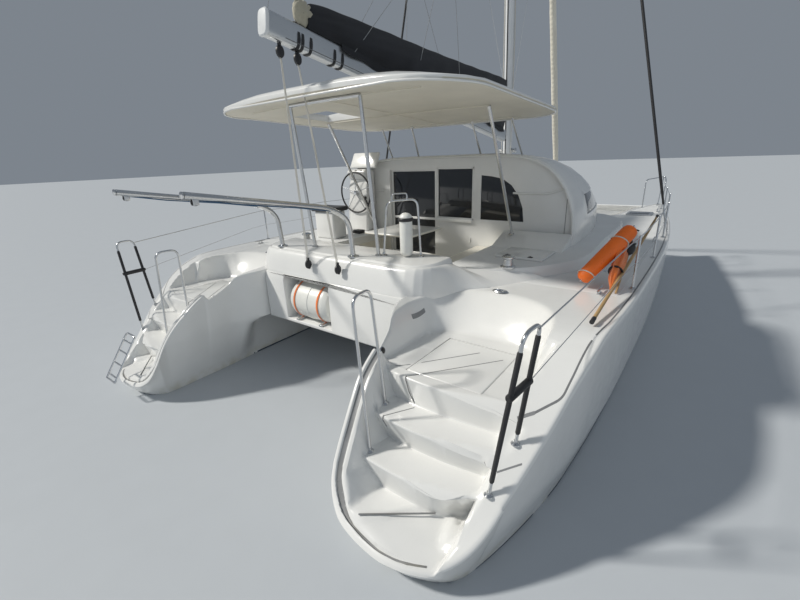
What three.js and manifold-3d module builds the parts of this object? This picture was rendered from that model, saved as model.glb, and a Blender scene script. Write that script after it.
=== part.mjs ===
// A cruising sailing catamaran, afloat, with its sails stowed, at full size in millimetres.
// X runs from the stern to the bow, Y to port and Z up, with Z = 0 at the waterline.
// The parts are laid out from the aft end, and the whole is moved so that the origin is amidships.
import * as THREE from "three";
import { mergeVertices } from "three/addons/utils/BufferGeometryUtils.js";
import Module from "manifold-3d";

const wasm = await Module();
wasm.setup();

// Driving dimensions of the whole boat
const LENGTH = 11550;
const HALF_BEAM = 3265;
const DECK_Z = 1480;
const TUNNEL_ROOF_Z = 750;
const CENTRE_HALF_WIDTH = 1200;
const BEAM_AFT_X = 1800;
const NACELLE_FRONT_X = 8760;
const GAP = 0.3;
const SEAT_GAP = 0.5;

// Stairs in each stern
const TREAD_Z = [250, 470, 690, 910, 1120];
const WELL_INNER_Y = 1900;
const WELL_OUTER_Y = 2640;
const WELL_SLOPE = 0.6;
const LANDING_FRONT_X = 2000;

// Cockpit and deckhouse
const SOLE_Z = 1050;
const COCKPIT_AFT_X = 2600;
const COCKPIT_HALF_WIDTH = 1160;
const SEAT_Z = 1460;
const SALOON_FRONT_X = 6900;
const BULKHEAD_X = 4600;
const WALL = 45;
const COAMING_Z = 1600;
const BEAM_TOP_Z = 1780;

// Rig
const MAST_FOOT = [7400, 2300];
const MAST_TOP_Z = 17200;
const MAST_RAKE = THREE.MathUtils.degToRad(4.1);
const GOOSENECK_Z = 3230;
const BOOM_LENGTH = 5800;
const BOOM_RISE = THREE.MathUtils.degToRad(8.9);
const HOUNDS_Z = 14200;
const STAY_FOOT = [11240, 1500];
const CHAINPLATE = [6760, 3170, 1500];

// Underwater gear
const DRAUGHT = 1150;
const SHAFT_Z = -880;
const DRIVE_X = 2950;
const RUDDER_X = 1180;
const HULL_CENTRE_Y = 2400;

// Materials, one for each finish on the boat
const finish = (color, roughness, metalness = 0) =>
  new THREE.MeshStandardMaterial({ color, roughness, metalness });
const GELCOAT = finish(0xf1f2f0, 0.28);
const ANTIFOUL = finish(0x1d2733, 0.8);
const STEEL = finish(0xc9ccd0, 0.2, 1);
const ALLOY = finish(0xb9bec2, 0.38, 0.9);
const BRONZE = finish(0xa8834a, 0.4, 0.9);
const GLAZING = finish(0x14171a, 0.08);
const COVER = finish(0x23272f, 0.9);
const SAILCLOTH = finish(0xe6e1d3, 0.85);
const NETTING = finish(0xd8d8d4, 0.9);
const ORANGE = finish(0xf05a1a, 0.55);
const CANISTER = finish(0xe9e7df, 0.4);
const CUSHION = finish(0x1f2022, 0.75);
const PAINTED = finish(0x8f9aa0, 0.5, 0.4);

// A closed geometry as a solid that can be joined and cut; it is turned right side out
function solid(geometry) {
  const bare = new THREE.BufferGeometry();
  bare.setAttribute("position", geometry.getAttribute("position"));
  if (geometry.index) bare.setIndex(geometry.index);
  const merged = mergeVertices(bare, 1e-3);
  const p = merged.attributes.position.array;
  const t = new Uint32Array(merged.index.array);
  let volume = 0;
  const corner = [0, 1, 2].map(() => new THREE.Vector3());
  for (let i = 0; i < t.length; i += 3) {
    corner.forEach((c, k) => c.fromArray(p, 3 * t[i + k]));
    volume += corner[0].dot(corner[1].clone().cross(corner[2]));
  }
  if (volume < 0) {
    for (let i = 0; i < t.length; i += 3) [t[i + 1], t[i + 2]] = [t[i + 2], t[i + 1]];
  }
  const mesh = new wasm.Mesh({ numProp: 3, vertProperties: p, triVerts: t });
  return new wasm.Manifold(mesh);
}

// The geometry of a solid
function geometryOf(made) {
  const mesh = made.getMesh();
  const stride = mesh.numProp;
  const position = new Float32Array(mesh.numVert * 3);
  for (let i = 0; i < mesh.numVert; i++) {
    position.set(mesh.vertProperties.subarray(i * stride, i * stride + 3), i * 3);
  }
  const geometry = new THREE.BufferGeometry();
  geometry.setAttribute("position", new THREE.BufferAttribute(position, 3));
  geometry.setIndex(new THREE.BufferAttribute(mesh.triVerts, 1));
  geometry.computeVertexNormals();
  return geometry;
}

// The same solid on the other side of the centreline
function mirrored(made) {
  return solid(geometryOf(made).scale(1, -1, 1));
}

const joined = (first, ...others) => others.reduce((sum, next) => sum.add(next), first);
const cut = (first, ...others) => others.reduce((rest, next) => rest.subtract(next), first);

// A box between two corners
function block(x, y, z) {
  const geometry = new THREE.BoxGeometry(x[1] - x[0], y[1] - y[0], z[1] - z[0]);
  geometry.translate((x[0] + x[1]) / 2, (y[0] + y[1]) / 2, (z[0] + z[1]) / 2);
  return solid(geometry);
}

// An outline with points in X and Y, extruded upwards from one height to another
function plate(outline, z0, z1) {
  const shape = new THREE.Shape(outline.map(([x, y]) => new THREE.Vector2(x, y)));
  const geometry = new THREE.ExtrudeGeometry(shape, { depth: z1 - z0, bevelEnabled: false });
  return solid(geometry.translate(0, 0, z0));
}

// An outline with points in X and Z, extruded across the boat
function sidePlate(outline, y0, y1) {
  const shape = new THREE.Shape(outline.map(([x, z]) => new THREE.Vector2(x, z)));
  const geometry = new THREE.ExtrudeGeometry(shape, { depth: y1 - y0, bevelEnabled: false });
  return solid(geometry.rotateX(Math.PI / 2).translate(0, y1, 0));
}

// An outline with points in Y and Z, extruded forward
function crossPlate(outline, x0, x1) {
  const shape = new THREE.Shape(outline.map(([y, z]) => new THREE.Vector2(y, z)));
  const geometry = new THREE.ExtrudeGeometry(shape, { depth: x1 - x0, bevelEnabled: false });
  geometry.applyMatrix4(new THREE.Matrix4().set(0, 0, 1, x0, 1, 0, 0, 0, 0, 1, 0, 0, 0, 0, 0, 1));
  return solid(geometry);
}

// A skin over rings of equal count, with flat ends; each ring is a list of [x, y, z]
function loft(rings) {
  const count = rings[0].length;
  const index = [];
  for (let r = 0; r + 1 < rings.length; r++) {
    for (let i = 0; i < count; i++) {
      const j = (i + 1) % count;
      const a = r * count + i;
      const b = r * count + j;
      index.push(a, b, b + count, a, b + count, a + count);
    }
  }
  const last = (rings.length - 1) * count;
  for (const [first, ring, turned] of [[0, rings[0], true], [last, rings.at(-1), false]]) {
    const spread = [0, 1, 2].map((k) => {
      const values = ring.map((q) => q[k]);
      return Math.max(...values) - Math.min(...values);
    });
    const flat = spread.indexOf(Math.min(...spread));
    const [u, v] = [(flat + 1) % 3, (flat + 2) % 3];
    const points = ring.map((q) => new THREE.Vector2(q[u], q[v]));
    const around = THREE.ShapeUtils.area(points) > 0;
    const faces = THREE.ShapeUtils.triangulateShape(points, []);
    const sum = faces.reduce((s, face) => s + THREE.ShapeUtils.area(face.map((k) => points[k])), 0);
    const keep = (sum > 0 === around) !== turned;
    for (const [a, b, c] of faces) {
      if (keep) index.push(first + a, first + b, first + c);
      else index.push(first + a, first + c, first + b);
    }
  }
  const geometry = new THREE.BufferGeometry();
  geometry.setAttribute("position", new THREE.Float32BufferAttribute(rings.flat(2), 3));
  geometry.setIndex(index);
  return solid(geometry);
}

// A route through points, whose steps end at the points themselves
class Route extends THREE.Curve {
  constructor(points) {
    super();
    this.points = points;
  }
  getPoint(t, target = new THREE.Vector3()) {
    const last = this.points.length - 1;
    const i = Math.min(Math.floor(t * last + 1e-9), last - 1);
    return target.lerpVectors(this.points[i], this.points[i + 1], t * last - i);
  }
  getUtoTmapping(u) {
    return u;
  }
  getTangent(t, target = new THREE.Vector3()) {
    const last = this.points.length - 1;
    const at = t * last;
    const near = Math.round(at);
    const step = (k) => this.points[k + 1].clone().sub(this.points[k]).normalize();
    if (Math.abs(at - near) > 1e-6) return target.copy(step(Math.floor(at)));
    const before = step(Math.max(near - 1, 0));
    const after = step(Math.min(near, last - 1));
    return target.copy(before.add(after).normalize());
  }
}

// The points of a route with each corner rounded
function rounded(points, radius, closed = false) {
  const p = points.map((q) => new THREE.Vector3(...q));
  const n = p.length;
  const out = [];
  for (let i = 0; i < n; i++) {
    if (!closed && (i === 0 || i === n - 1)) {
      out.push(p[i]);
      continue;
    }
    const back = p[(i + n - 1) % n].clone().sub(p[i]);
    const on = p[(i + 1) % n].clone().sub(p[i]);
    const reach = Math.min(radius, back.length() * 0.45, on.length() * 0.45);
    const start = p[i].clone().add(back.setLength(reach));
    const end = p[i].clone().add(on.setLength(reach));
    const bend = new THREE.QuadraticBezierCurve3(start, p[i], end);
    out.push(...bend.getPoints(3));
  }
  return out;
}

// A round tube through points with rounded corners
function tube(points, radius, bend = 0, sides = 8) {
  const route = bend > 0 ? rounded(points, bend) : points.map((q) => new THREE.Vector3(...q));
  const ring = new THREE.Shape(
    new THREE.EllipseCurve(0, 0, radius, radius).getPoints(sides).slice(0, sides),
  );
  const path = new Route(route);
  const options = { steps: route.length - 1, extrudePath: path, bevelEnabled: false };
  return solid(new THREE.ExtrudeGeometry(ring, options));
}

// A spindle turned about Z from a profile of [radius, height]
function turned(profile, sides = 16) {
  const points = profile.map(([r, z]) => new THREE.Vector2(r, z));
  const geometry = new THREE.LatheGeometry(points, sides);
  return solid(geometry.rotateX(Math.PI / 2));
}

// The same solid moved, after turns about X, Y and Z
function placed(made, at, turn = [0, 0, 0]) {
  const geometry = geometryOf(made);
  geometry.applyMatrix4(new THREE.Matrix4().makeRotationFromEuler(new THREE.Euler(...turn)));
  return solid(geometry.translate(...at));
}

// Points along an arc in two dimensions, from one angle to another in degrees
function arc(cx, cy, rx, ry, from, to, steps) {
  const out = [];
  for (let i = 0; i <= steps; i++) {
    const a = THREE.MathUtils.degToRad(from + ((to - from) * i) / steps);
    out.push([cx + rx * Math.cos(a), cy + ry * Math.sin(a)]);
  }
  return out;
}

// Points along a smooth curve through a list of points
function eased(points, steps) {
  const curve = new THREE.CatmullRomCurve3(
    points.map((q) => new THREE.Vector3(q[0], q[1], q[2] ?? 0)),
    false,
    "centripetal",
  );
  const count = (points.length - 1) * steps;
  return Array.from({ length: count + 1 }, (_, i) => curve.getPoint(i / count).toArray());
}

// Value of a column of a table at a station, between its rows
function between(table, x, column) {
  const last = table.length - 1;
  if (x <= table[0].x) return table[0][column];
  if (x >= table[last].x) return table[last][column];
  const i = table.findIndex((row) => row.x > x) - 1;
  const share = (x - table[i].x) / (table[i + 1].x - table[i].x);
  return THREE.MathUtils.lerp(table[i][column], table[i + 1][column], share);
}

const boat = new THREE.Group();
boat.position.x = -LENGTH / 2;

// Adds a piece to the boat, or to a group of it
function add(name, made, material, parent = boat) {
  const mesh = new THREE.Mesh(geometryOf(made), material);
  mesh.name = name;
  parent.add(mesh);
  return mesh;
}

// Adds a piece on both sides of the boat; it is drawn on the port side
function addPair(name, made, material) {
  add(`${name}_port`, made, material);
  add(`${name}_starboard`, mirrored(made), material);
}

// Sections of a hull: keel is the depth of its bottom, centre and half the middle and half width
// at the waterline, flare the inner side at tunnel height, inner and outer the deck edges
const STATIONS = [
  { x: 20, keel: -20, centre: 2160, half: 110, flare: 2030, inner: 2020, outer: 2290, deck: 420 },
  { x: 120, keel: -60, centre: 2180, half: 320, flare: 1870, inner: 1830, outer: 2530, deck: DECK_Z },
  { x: 400, keel: -140, centre: 2220, half: 450, flare: 1730, inner: 1660, outer: 2740, deck: DECK_Z },
  { x: 800, keel: -230, centre: 2280, half: 520, flare: 1650, inner: 1550, outer: 2930, deck: DECK_Z },
  { x: 1300, keel: -330, centre: 2340, half: 570, flare: 1560, inner: 1420, outer: 3080, deck: DECK_Z },
  { x: 1790, keel: -410, centre: 2390, half: 590, flare: 1300, inner: 1200, outer: 3160, deck: DECK_Z },
  { x: 3200, keel: -540, centre: 2440, half: 620, flare: 1200, inner: 1200, outer: 3240, deck: DECK_Z },
  { x: 5000, keel: -590, centre: 2460, half: 630, flare: 1200, inner: 1200, outer: HALF_BEAM, deck: DECK_Z },
  { x: 6600, keel: -560, centre: 2480, half: 600, flare: 1200, inner: 1200, outer: 3225, deck: DECK_Z },
  { x: 8000, keel: -510, centre: 2500, half: 510, flare: 1200, inner: 1200, outer: 3130, deck: DECK_Z },
  { x: 8450, keel: -490, centre: 2510, half: 460, flare: 1500, inner: 1420, outer: 3090, deck: DECK_Z },
  { x: 8900, keel: -470, centre: 2520, half: 420, flare: 1950, inner: 1880, outer: 3040, deck: DECK_Z },
  { x: 10000, keel: -410, centre: 2560, half: 280, flare: 2180, inner: 2120, outer: 2890, deck: DECK_Z },
  { x: 11000, keel: -320, centre: 2600, half: 120, flare: 2430, inner: 2400, outer: 2750, deck: 1510 },
  { x: 11400, keel: -180, centre: 2610, half: 40, flare: 2550, inner: 2540, outer: 2660, deck: 1520 },
  { x: LENGTH, keel: 60, centre: 2612, half: 14, flare: 2590, inner: 2588, outer: 2630, deck: 1520 },
];

// One section of a hull, from the inner deck edge down and round to the outer deck edge
function hullRing(s) {
  const tunnel = s.flare < 1560 && s.x > 1500;
  const inside = s.centre - s.half;
  const outside = s.centre + s.half;
  const top = Math.min(TUNNEL_ROOF_Z, s.deck - 30);
  const wall = tunnel ? [[0.5, 0.93], [0.85, 0.66], [0.97, 0.33]] : [[0.3, 0.7], [0.6, 0.42], [0.86, 0.18]];
  const points = [[s.inner, s.deck], [s.flare, top]];
  for (const [share, height] of wall) {
    points.push([THREE.MathUtils.lerp(s.flare, inside, share), top * height]);
  }
  const bilge = arc(s.centre, Math.max(0, s.keel), s.half, Math.abs(s.keel), 180, 360, 8);
  points.push(...bilge);
  const rise = s.deck - Math.max(0, s.keel);
  const low = Math.max(0, s.keel);
  points.push([outside + (s.outer - outside) * 0.62, low + rise * 0.3]);
  points.push([outside + (s.outer - outside) * 0.93, low + rise * 0.68]);
  points.push([s.outer, low + rise * 0.9]);
  points.push([s.outer - (s.outer - s.inner) * 0.03, s.deck]);
  return points.map(([y, z]) => [s.x, y, z]);
}

// Stern rim as seen from the side: the inner edge is steeper than the outer one
const RIM = [
  { inner: -200, outer: -60, z: 180 },
  { inner: 0, outer: 170, z: 240 },
  { inner: 70, outer: 430, z: 330 },
  { inner: 160, outer: 690, z: 520 },
  { inner: 300, outer: 960, z: 800 },
  { inner: 560, outer: 1240, z: 1080 },
  { inner: 900, outer: 1500, z: 1300 },
  { inner: 1300, outer: 1800, z: 1430 },
  { inner: 1740, outer: 2150, z: DECK_Z + 20 },
];
const SHEER_CUT_Z = 2000;
const SHEER_CUT_AFT_X = -600;

function rimCutter() {
  const edge = (column) => [
    [SHEER_CUT_AFT_X, RIM[0].z],
    ...RIM.map((row) => [row[column], row.z]),
    [RIM.at(-1)[column], SHEER_CUT_Z],
    [SHEER_CUT_AFT_X, SHEER_CUT_Z],
  ];
  const ring = (column, y) => edge(column).map(([x, z]) => [x, y, z]);
  return loft([ring("inner", 1000), ring("outer", 3400)]);
}

// Front edge of the tread below each riser, at the inner and the outer wall of the stairs
const RISERS = [
  { inner: 110, outer: 480 },
  { inner: 420, outer: 650 },
  { inner: 640, outer: 830 },
  { inner: 860, outer: 1020 },
];
const STAIR_CUT_TOP = 2200;

function stairCutter() {
  const flight = TREAD_Z.map((z, i) => {
    const front = i < RISERS.length ? RISERS[i] : { inner: LANDING_FRONT_X, outer: LANDING_FRONT_X };
    const outline = [
      [-400, 1300],
      [front.inner - 60, 1300],
      [front.inner, WELL_INNER_Y],
      [(front.inner + front.outer) / 2 - 20, (WELL_INNER_Y + WELL_OUTER_Y) / 2],
      [front.outer, WELL_OUTER_Y],
      [front.outer + 60, 3200],
      [-400, 3200],
    ];
    return plate(outline, z, STAIR_CUT_TOP);
  });
  const flare = (STAIR_CUT_TOP - TREAD_Z[1]) * WELL_SLOPE;
  const section = (x, inner, outer) => [
    [x, inner, TREAD_Z[0] - 100],
    [x, outer, TREAD_Z[0] - 100],
    [x, outer, TREAD_Z[1]],
    [x, outer + flare, STAIR_CUT_TOP],
    [x, inner - flare, STAIR_CUT_TOP],
    [x, inner, TREAD_Z[1]],
  ];
  const well = loft([
    section(-100, 2060, 2280),
    section(150, 1985, 2470),
    section(480, 1965, 2560),
    section(LANDING_FRONT_X, 1880, 2640),
  ]);
  return joined(...flight).intersect(well);
}

// Rounded recess over the landing, whose wall leans forward
function nicheCutter() {
  const outline = (grow) => [
    [900, 1480 - grow * 0.4],
    [1200, 1445 - grow * 0.5],
    ...arc(1560, 1880, 430 + grow, 430 + grow * 0.9, -105, -20, 4),
    ...arc(1640, 2330, 350 + grow, 330 + grow * 0.6, 15, 80, 4),
    [1300, 2700 + grow * 0.6],
    [900, 2680 + grow * 0.6],
  ];
  const ring = (grow, z) => outline(grow).map(([x, y]) => [x, y, z]);
  return loft([ring(0, TREAD_Z[4]), ring(70, 1300), ring(230, DECK_Z + 60)]);
}

const LID = { x: [1090, 1860], y: [1760, 2480], thick: 40 };
const LID_CLEARANCE = 6;
const ENGINE_BAY = { x: [1180, 1830], y: [1830, 2410], z: -20 };

function engineBayCutter() {
  const seat = block(
    [LID.x[0] - LID_CLEARANCE, LID.x[1] + LID_CLEARANCE],
    [LID.y[0] - LID_CLEARANCE, LID.y[1] + LID_CLEARANCE],
    [TREAD_Z[4] - LID.thick - GAP, TREAD_Z[4] + 50],
  );
  const bay = block(ENGINE_BAY.x, ENGINE_BAY.y, [ENGINE_BAY.z, TREAD_Z[4]]);
  return seat.add(bay);
}

// The well of the cockpit, with seats along its aft and starboard sides, and of the saloon
const BENCH = 480;
function cockpitCutter() {
  const half = COCKPIT_HALF_WIDTH;
  const wall = BULKHEAD_X + WALL;
  const seats = block([COCKPIT_AFT_X, wall], [-half, half], [SEAT_Z, 3000]);
  const well = block([COCKPIT_AFT_X + BENCH, wall], [-half + BENCH, half], [SOLE_Z, 3000]);
  const saloon = block([wall - 10, SALOON_FRONT_X], [-half, half], [SOLE_Z, 3000]);
  return joined(seats, well, saloon);
}

// A boss under the hull takes the rudder's stock
const GLAND = { radius: 48, z: -345 };

function buildHull() {
  const skin = loft(STATIONS.map(hullRing));
  const gland = placed(
    turned([[0, 0], [GLAND.radius, 0], [GLAND.radius, 200], [0, 200]], 12),
    [RUDDER_X, HULL_CENTRE_Y - 40, GLAND.z],
  );
  const shell = skin.add(gland);
  return cut(
    shell,
    rimCutter(),
    stairCutter(),
    nicheCutter(),
    engineBayCutter(),
  );
}

const hullPort = buildHull();
const hullStarboard = mirrored(hullPort);
const LADDER = {
  hinge: [-45, 2170, 300],
  half: 130,
  length: 620,
  lean: THREE.MathUtils.degToRad(55),
};
const LADDER_TUBE = 12;
const ladderSeat = block([-60, 90], [2090, 2250], [190, LADDER.hinge[2] - LADDER_TUBE - GAP]);
add("hull_port", hullPort.add(ladderSeat), GELCOAT);
add("hull_starboard", hullStarboard, GELCOAT);

// A piece trimmed to sit just clear of its neighbour, which is moved by the gap towards it
const trimmed = (piece, neighbour, [x, y, z]) =>
  piece.subtract(placed(neighbour, [x * SEAT_GAP, y * SEAT_GAP, z * SEAT_GAP]));

// Engines and their lids in the stern landings
const ENGINE_GAP = 40;
addPair(
  "engine",
  block(
    [ENGINE_BAY.x[0] + ENGINE_GAP, ENGINE_BAY.x[1] - ENGINE_GAP],
    [ENGINE_BAY.y[0] + ENGINE_GAP, ENGINE_BAY.y[1] - ENGINE_GAP],
    [ENGINE_BAY.z + GAP, 600],
  ),
  PAINTED,
);
addPair(
  "engine_lid",
  block(LID.x, LID.y, [TREAD_Z[4] - LID.thick, TREAD_Z[4]]),
  GELCOAT,
);

// A foil between two heights: its chord and thickness at the top and at the bottom
function foil(top, bottom) {
  const ring = ({ x, y, z, chord, thick }) => {
    const outline = [
      [0.5, 0],
      [0.42, 0.3],
      [0.15, 0.5],
      [-0.2, 0.36],
      [-0.5, 0.03],
    ];
    const lower = outline.slice(1).reverse().map(([a, b]) => [a, -b]);
    return [...outline, ...lower].map(([a, b]) => [x + a * chord, y + b * thick, z]);
  };
  return loft([ring(top), ring(bottom)]);
}

const KEEL = { x: 5650, chord: 2300, thick: 190 };
function buildKeel() {
  const fin = foil(
    { x: KEEL.x, y: 2465, z: -480, chord: KEEL.chord, thick: KEEL.thick },
    { x: KEEL.x - 120, y: 2465, z: -DRAUGHT, chord: KEEL.chord * 0.84, thick: KEEL.thick * 0.8 },
  );
  return trimmed(fin, hullPort, [0, 0, -1]);
}
addPair("keel", buildKeel(), ANTIFOUL);

const RUDDER = { y: HULL_CENTRE_Y - 40, chord: 460, thick: 60, top: -400, bottom: -1080, stock: 24 };
function buildRudder() {
  const { y, chord, thick, top, bottom } = RUDDER;
  const blade = foil(
    { x: RUDDER_X - 60, y, z: top, chord, thick },
    { x: RUDDER_X - 30, y, z: bottom, chord: chord * 0.75, thick: thick * 0.7 },
  );
  const foot = top - 60;
  const rise = GLAND.z - GAP - foot;
  const profile = [[0, 0], [RUDDER.stock, 0], [RUDDER.stock, rise], [0, rise]];
  const stock = placed(turned(profile, 10), [RUDDER_X, y, foot]);
  return blade.add(stock);
}
addPair("rudder", buildRudder(), ANTIFOUL);

// Drive leg under the hull, with its gear case and the propeller behind it
const DRIVE = { y: HULL_CENTRE_Y + 30, chord: 400, thick: 100, caseRadius: 58, caseAft: -290, caseFore: 210 };
const PROP = { radius: 200, hub: 52, length: 130, blades: 3, chord: 110, pitch: 0.6 };
const alongX = (profile, sides) => placed(turned(profile, sides), [0, 0, 0], [0, Math.PI / 2, 0]);

function buildDrive() {
  const { y, chord, thick } = DRIVE;
  const leg = foil(
    { x: DRIVE_X, y, z: -450, chord, thick },
    { x: DRIVE_X - 20, y, z: SHAFT_Z, chord: chord * 0.8, thick: thick * 0.8 },
  );
  const skeg = foil(
    { x: DRIVE_X - 20, y, z: SHAFT_Z, chord: 300, thick: 36 },
    { x: DRIVE_X - 60, y, z: SHAFT_Z - 150, chord: 160, thick: 24 },
  );
  const r = DRIVE.caseRadius;
  const length = DRIVE.caseFore - DRIVE.caseAft;
  const gear = alongX([[0, 0], [r, 0], [r, length * 0.7], [r * 0.6, length * 0.94], [0, length]], 12);
  const hub = placed(gear, [DRIVE_X + DRIVE.caseAft, y, SHAFT_Z]);
  return trimmed(joined(leg, skeg, hub), hullPort, [0, 0, -1]);
}
addPair("drive_leg", buildDrive(), PAINTED);

function buildPropeller() {
  const profile = [
    [0, -PROP.length],
    [PROP.hub * 0.5, -PROP.length],
    [PROP.hub, -PROP.length * 0.6],
    [PROP.hub, 0],
    [0, 0],
  ];
  const hub = alongX(profile, 12);
  const blades = Array.from({ length: PROP.blades }, (_, i) => {
    const outline = [
      [-PROP.chord * 0.25, 0],
      [-PROP.chord * 0.55, PROP.radius * 0.6],
      [-PROP.chord * 0.3, PROP.radius * 0.95],
      [0, PROP.radius],
      [PROP.chord * 0.35, PROP.radius * 0.8],
      [PROP.chord * 0.35, PROP.radius * 0.4],
      [PROP.chord * 0.2, 0],
    ];
    const blade = placed(sidePlate(outline, -5, 5), [0, 0, 0], [0, 0, PROP.pitch]);
    return placed(blade, [-PROP.length * 0.5, 0, 0], [(i * 2 * Math.PI) / PROP.blades, 0, 0]);
  });
  return joined(hub, ...blades);
}
const propeller = buildPropeller();
for (const [name, side] of [["port", 1], ["starboard", -1]]) {
  const mesh = add(`propeller_${name}`, propeller, BRONZE);
  mesh.position.set(DRIVE_X + DRIVE.caseAft - GAP, side * DRIVE.y, SHAFT_Z);
}

// Bridge between the hulls, with the cockpit well and the locker for the raft cut out of it
const RAFT_LOCKER = { x: [BEAM_AFT_X - 50, 2450], y: [-60, 800], z: [830, 1440] };
function buildBridge() {
  const half = CENTRE_HALF_WIDTH - GAP;
  const body = sidePlate(
    [
      [BEAM_AFT_X, TUNNEL_ROOF_Z + 40],
      [BEAM_AFT_X + 60, TUNNEL_ROOF_Z],
      [NACELLE_FRONT_X - 900, TUNNEL_ROOF_Z],
      [NACELLE_FRONT_X - 250, TUNNEL_ROOF_Z + 180],
      [NACELLE_FRONT_X - 40, TUNNEL_ROOF_Z + 420],
      [NACELLE_FRONT_X, DECK_Z],
      [BEAM_AFT_X + 90, DECK_Z],
      [BEAM_AFT_X + 25, DECK_Z - 30],
      [BEAM_AFT_X, DECK_Z - 110],
    ],
    -half,
    half,
  );
  return cut(body, cockpitCutter(), block(RAFT_LOCKER.x, RAFT_LOCKER.y, RAFT_LOCKER.z));
}
const bridge = buildBridge();
add("bridge_deck", bridge, GELCOAT);

// Raised moulding round the cockpit and under the deckhouse, with the seat back on the aft beam
const COAMING = { aft: 1900, front: 8560, half: 2480 };
const SEAT_BACK = { aft: 1930, fore: 2560, half: 1430 };
const WALL_STEP = { x: [4080, 4560], y: [1180, 2180], rise: 170 };
function buildCoaming() {
  const ring = (grow, z) => {
    const sides = eased(
      [
        [COAMING.aft + 260 - grow * 0.4, 1180 + grow * 0.4],
        [2560, 1360 + grow],
        [2860, 1720 + grow],
        [3400, 2240 + grow],
        [4000, COAMING.half + grow],
        [5300, COAMING.half - 20 + grow],
        [7400, 2350 + grow],
        [8150, 1900 + grow * 0.7],
        [COAMING.front + grow * 0.4, 900],
      ],
      3,
    );
    const port = [
      [COAMING.aft - grow * 0.4, 500],
      [COAMING.aft + 20 - grow * 0.5, 1080],
      ...sides,
    ];
    const starboard = port.map(([x, y]) => [x, -y]).reverse();
    return [...port, ...starboard].map(([x, y]) => [x, y, z]);
  };
  const body = loft([ring(60, DECK_Z + GAP), ring(30, COAMING_Z - 40), ring(0, COAMING_Z)]);
  const backRing = (inset, z) => {
    const { aft, fore, half } = SEAT_BACK;
    const port = [
      ...arc(aft + 330, half - 330, 330 - inset, 330 - inset, 180, 90, 5),
      ...arc(fore - 70, half - 70, 70 - inset * 0.3, 70 - inset, 90, 0, 2),
    ];
    const starboard = port.map(([x, y]) => [x, -y]).reverse();
    return [...port, ...starboard].map(([x, y]) => [x, y, z]);
  };
  const back = loft([
    backRing(-40, COAMING_Z - 60),
    backRing(0, COAMING_Z + 40),
    backRing(20, BEAM_TOP_Z - 40),
    backRing(60, BEAM_TOP_Z),
  ]);
  const foot = COAMING_Z - 50;
  const step = sidePlate(
    [[WALL_STEP.x[0], foot], [WALL_STEP.x[0], COAMING_Z + 4], [WALL_STEP.x[1], COAMING_Z + WALL_STEP.rise], [WALL_STEP.x[1], foot]],
    -WALL_STEP.y[1],
    -WALL_STEP.y[0],
  );
  return cut(joined(body, back, step), cockpitCutter());
}
const coaming = buildCoaming();
add("deck_coaming", coaming, GELCOAT);

// Deckhouse: a hollow shell of sections, open at its aft end
const HOUSE = [
  { x: BULKHEAD_X, half: 2200, shoulder: 1450, top: 2900, low: 1600 },
  { x: 5600, half: 2180, shoulder: 1400, top: 2850, low: 1600 },
  { x: 6500, half: 2080, shoulder: 1280, top: 2720, low: 1600 },
  { x: 7300, half: 1900, shoulder: 1100, top: 2520, low: 1600 },
  { x: 8000, half: 1600, shoulder: 850, top: 2180, low: 1600 },
  { x: 8400, half: 1250, shoulder: 600, top: 1760, low: 1600 },
];
const HOUSE_STEPS = 2;
const HOUSE_FINE = HOUSE.slice(1).reduce(
  (rows, next, i) => {
    const shares = Array.from({ length: HOUSE_STEPS }, (_, k) => (k + 1) / HOUSE_STEPS);
    const column = (name) => new THREE.SplineCurve(HOUSE.map((s) => new THREE.Vector2(s.x, s[name])));
    const last = HOUSE.length - 1;
    const at = (name, share) => column(name).getPoint((i + share) / last).y;
    return rows.concat(
      shares.map((share) => ({
        x: THREE.MathUtils.lerp(HOUSE[i].x, next.x, share),
        half: at("half", share),
        shoulder: at("shoulder", share),
        top: at("top", share),
        low: next.low,
      })),
    );
  },
  [HOUSE[0]],
);
function houseRing(s, inset) {
  const half = s.half - inset;
  const top = s.top - inset;
  const rise = top - s.low;
  const port = [
    [half, s.low],
    [half - 20, s.low + rise * 0.35],
    [half - (half - s.shoulder) * 0.22, s.low + rise * 0.64],
    [half - (half - s.shoulder) * 0.58, s.low + rise * 0.86],
    [s.shoulder - 60, s.low + rise * 0.97],
    [s.shoulder * 0.45, s.low + rise],
  ];
  const fine = eased(port, 2);
  const ring = [...fine, ...fine.map(([y, z]) => [-y, z]).reverse()];
  return ring.map(([y, z]) => [s.x, y, z + GAP]);
}
const SIDE_WINDOW = { x: [5350, 7150], y: [1300, 2600], z: [1960, 2260] };
const FRONT_WINDOW = { x: [7500, 8500], y: [70, 900], z: [1850, 2080] };
const houseSkin = (inset, aft, fore, low = 0) =>
  loft(
    HOUSE_FINE.map((s, i) => {
      const x = i === 0 ? s.x + aft : s.x - (s.x > HOUSE[3].x ? fore * 1.6 : fore * 0.4);
      return houseRing({ ...s, x, low: s.low - low }, inset);
    }),
  );
// The aft edge of the shell is rounded off in two steps
const [houseAft, ...houseRest] = HOUSE_FINE;
const houseOuter = loft([
  houseRing(houseAft, 32),
  houseRing({ ...houseAft, x: houseAft.x + 25 }, 10),
  houseRing({ ...houseAft, x: houseAft.x + 80 }, 0),
  ...houseRest.map((s) => houseRing(s, 0)),
]);
const windowBlock = ({ x, y, z }, margin = 0) =>
  block(
    [x[0] + margin, x[1] - margin],
    [y[0] + margin, y[1] - margin],
    [z[0] + margin, z[1] - margin],
  );
function buildHouse() {
  const holes = [SIDE_WINDOW, FRONT_WINDOW].flatMap((w) => {
    const port = windowBlock(w);
    return [port, mirrored(port)];
  });
  return cut(houseOuter, houseSkin(WALL, -50, WALL, 60), ...holes);
}
const house = buildHouse();
add("deckhouse_shell", house, GELCOAT);

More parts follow.
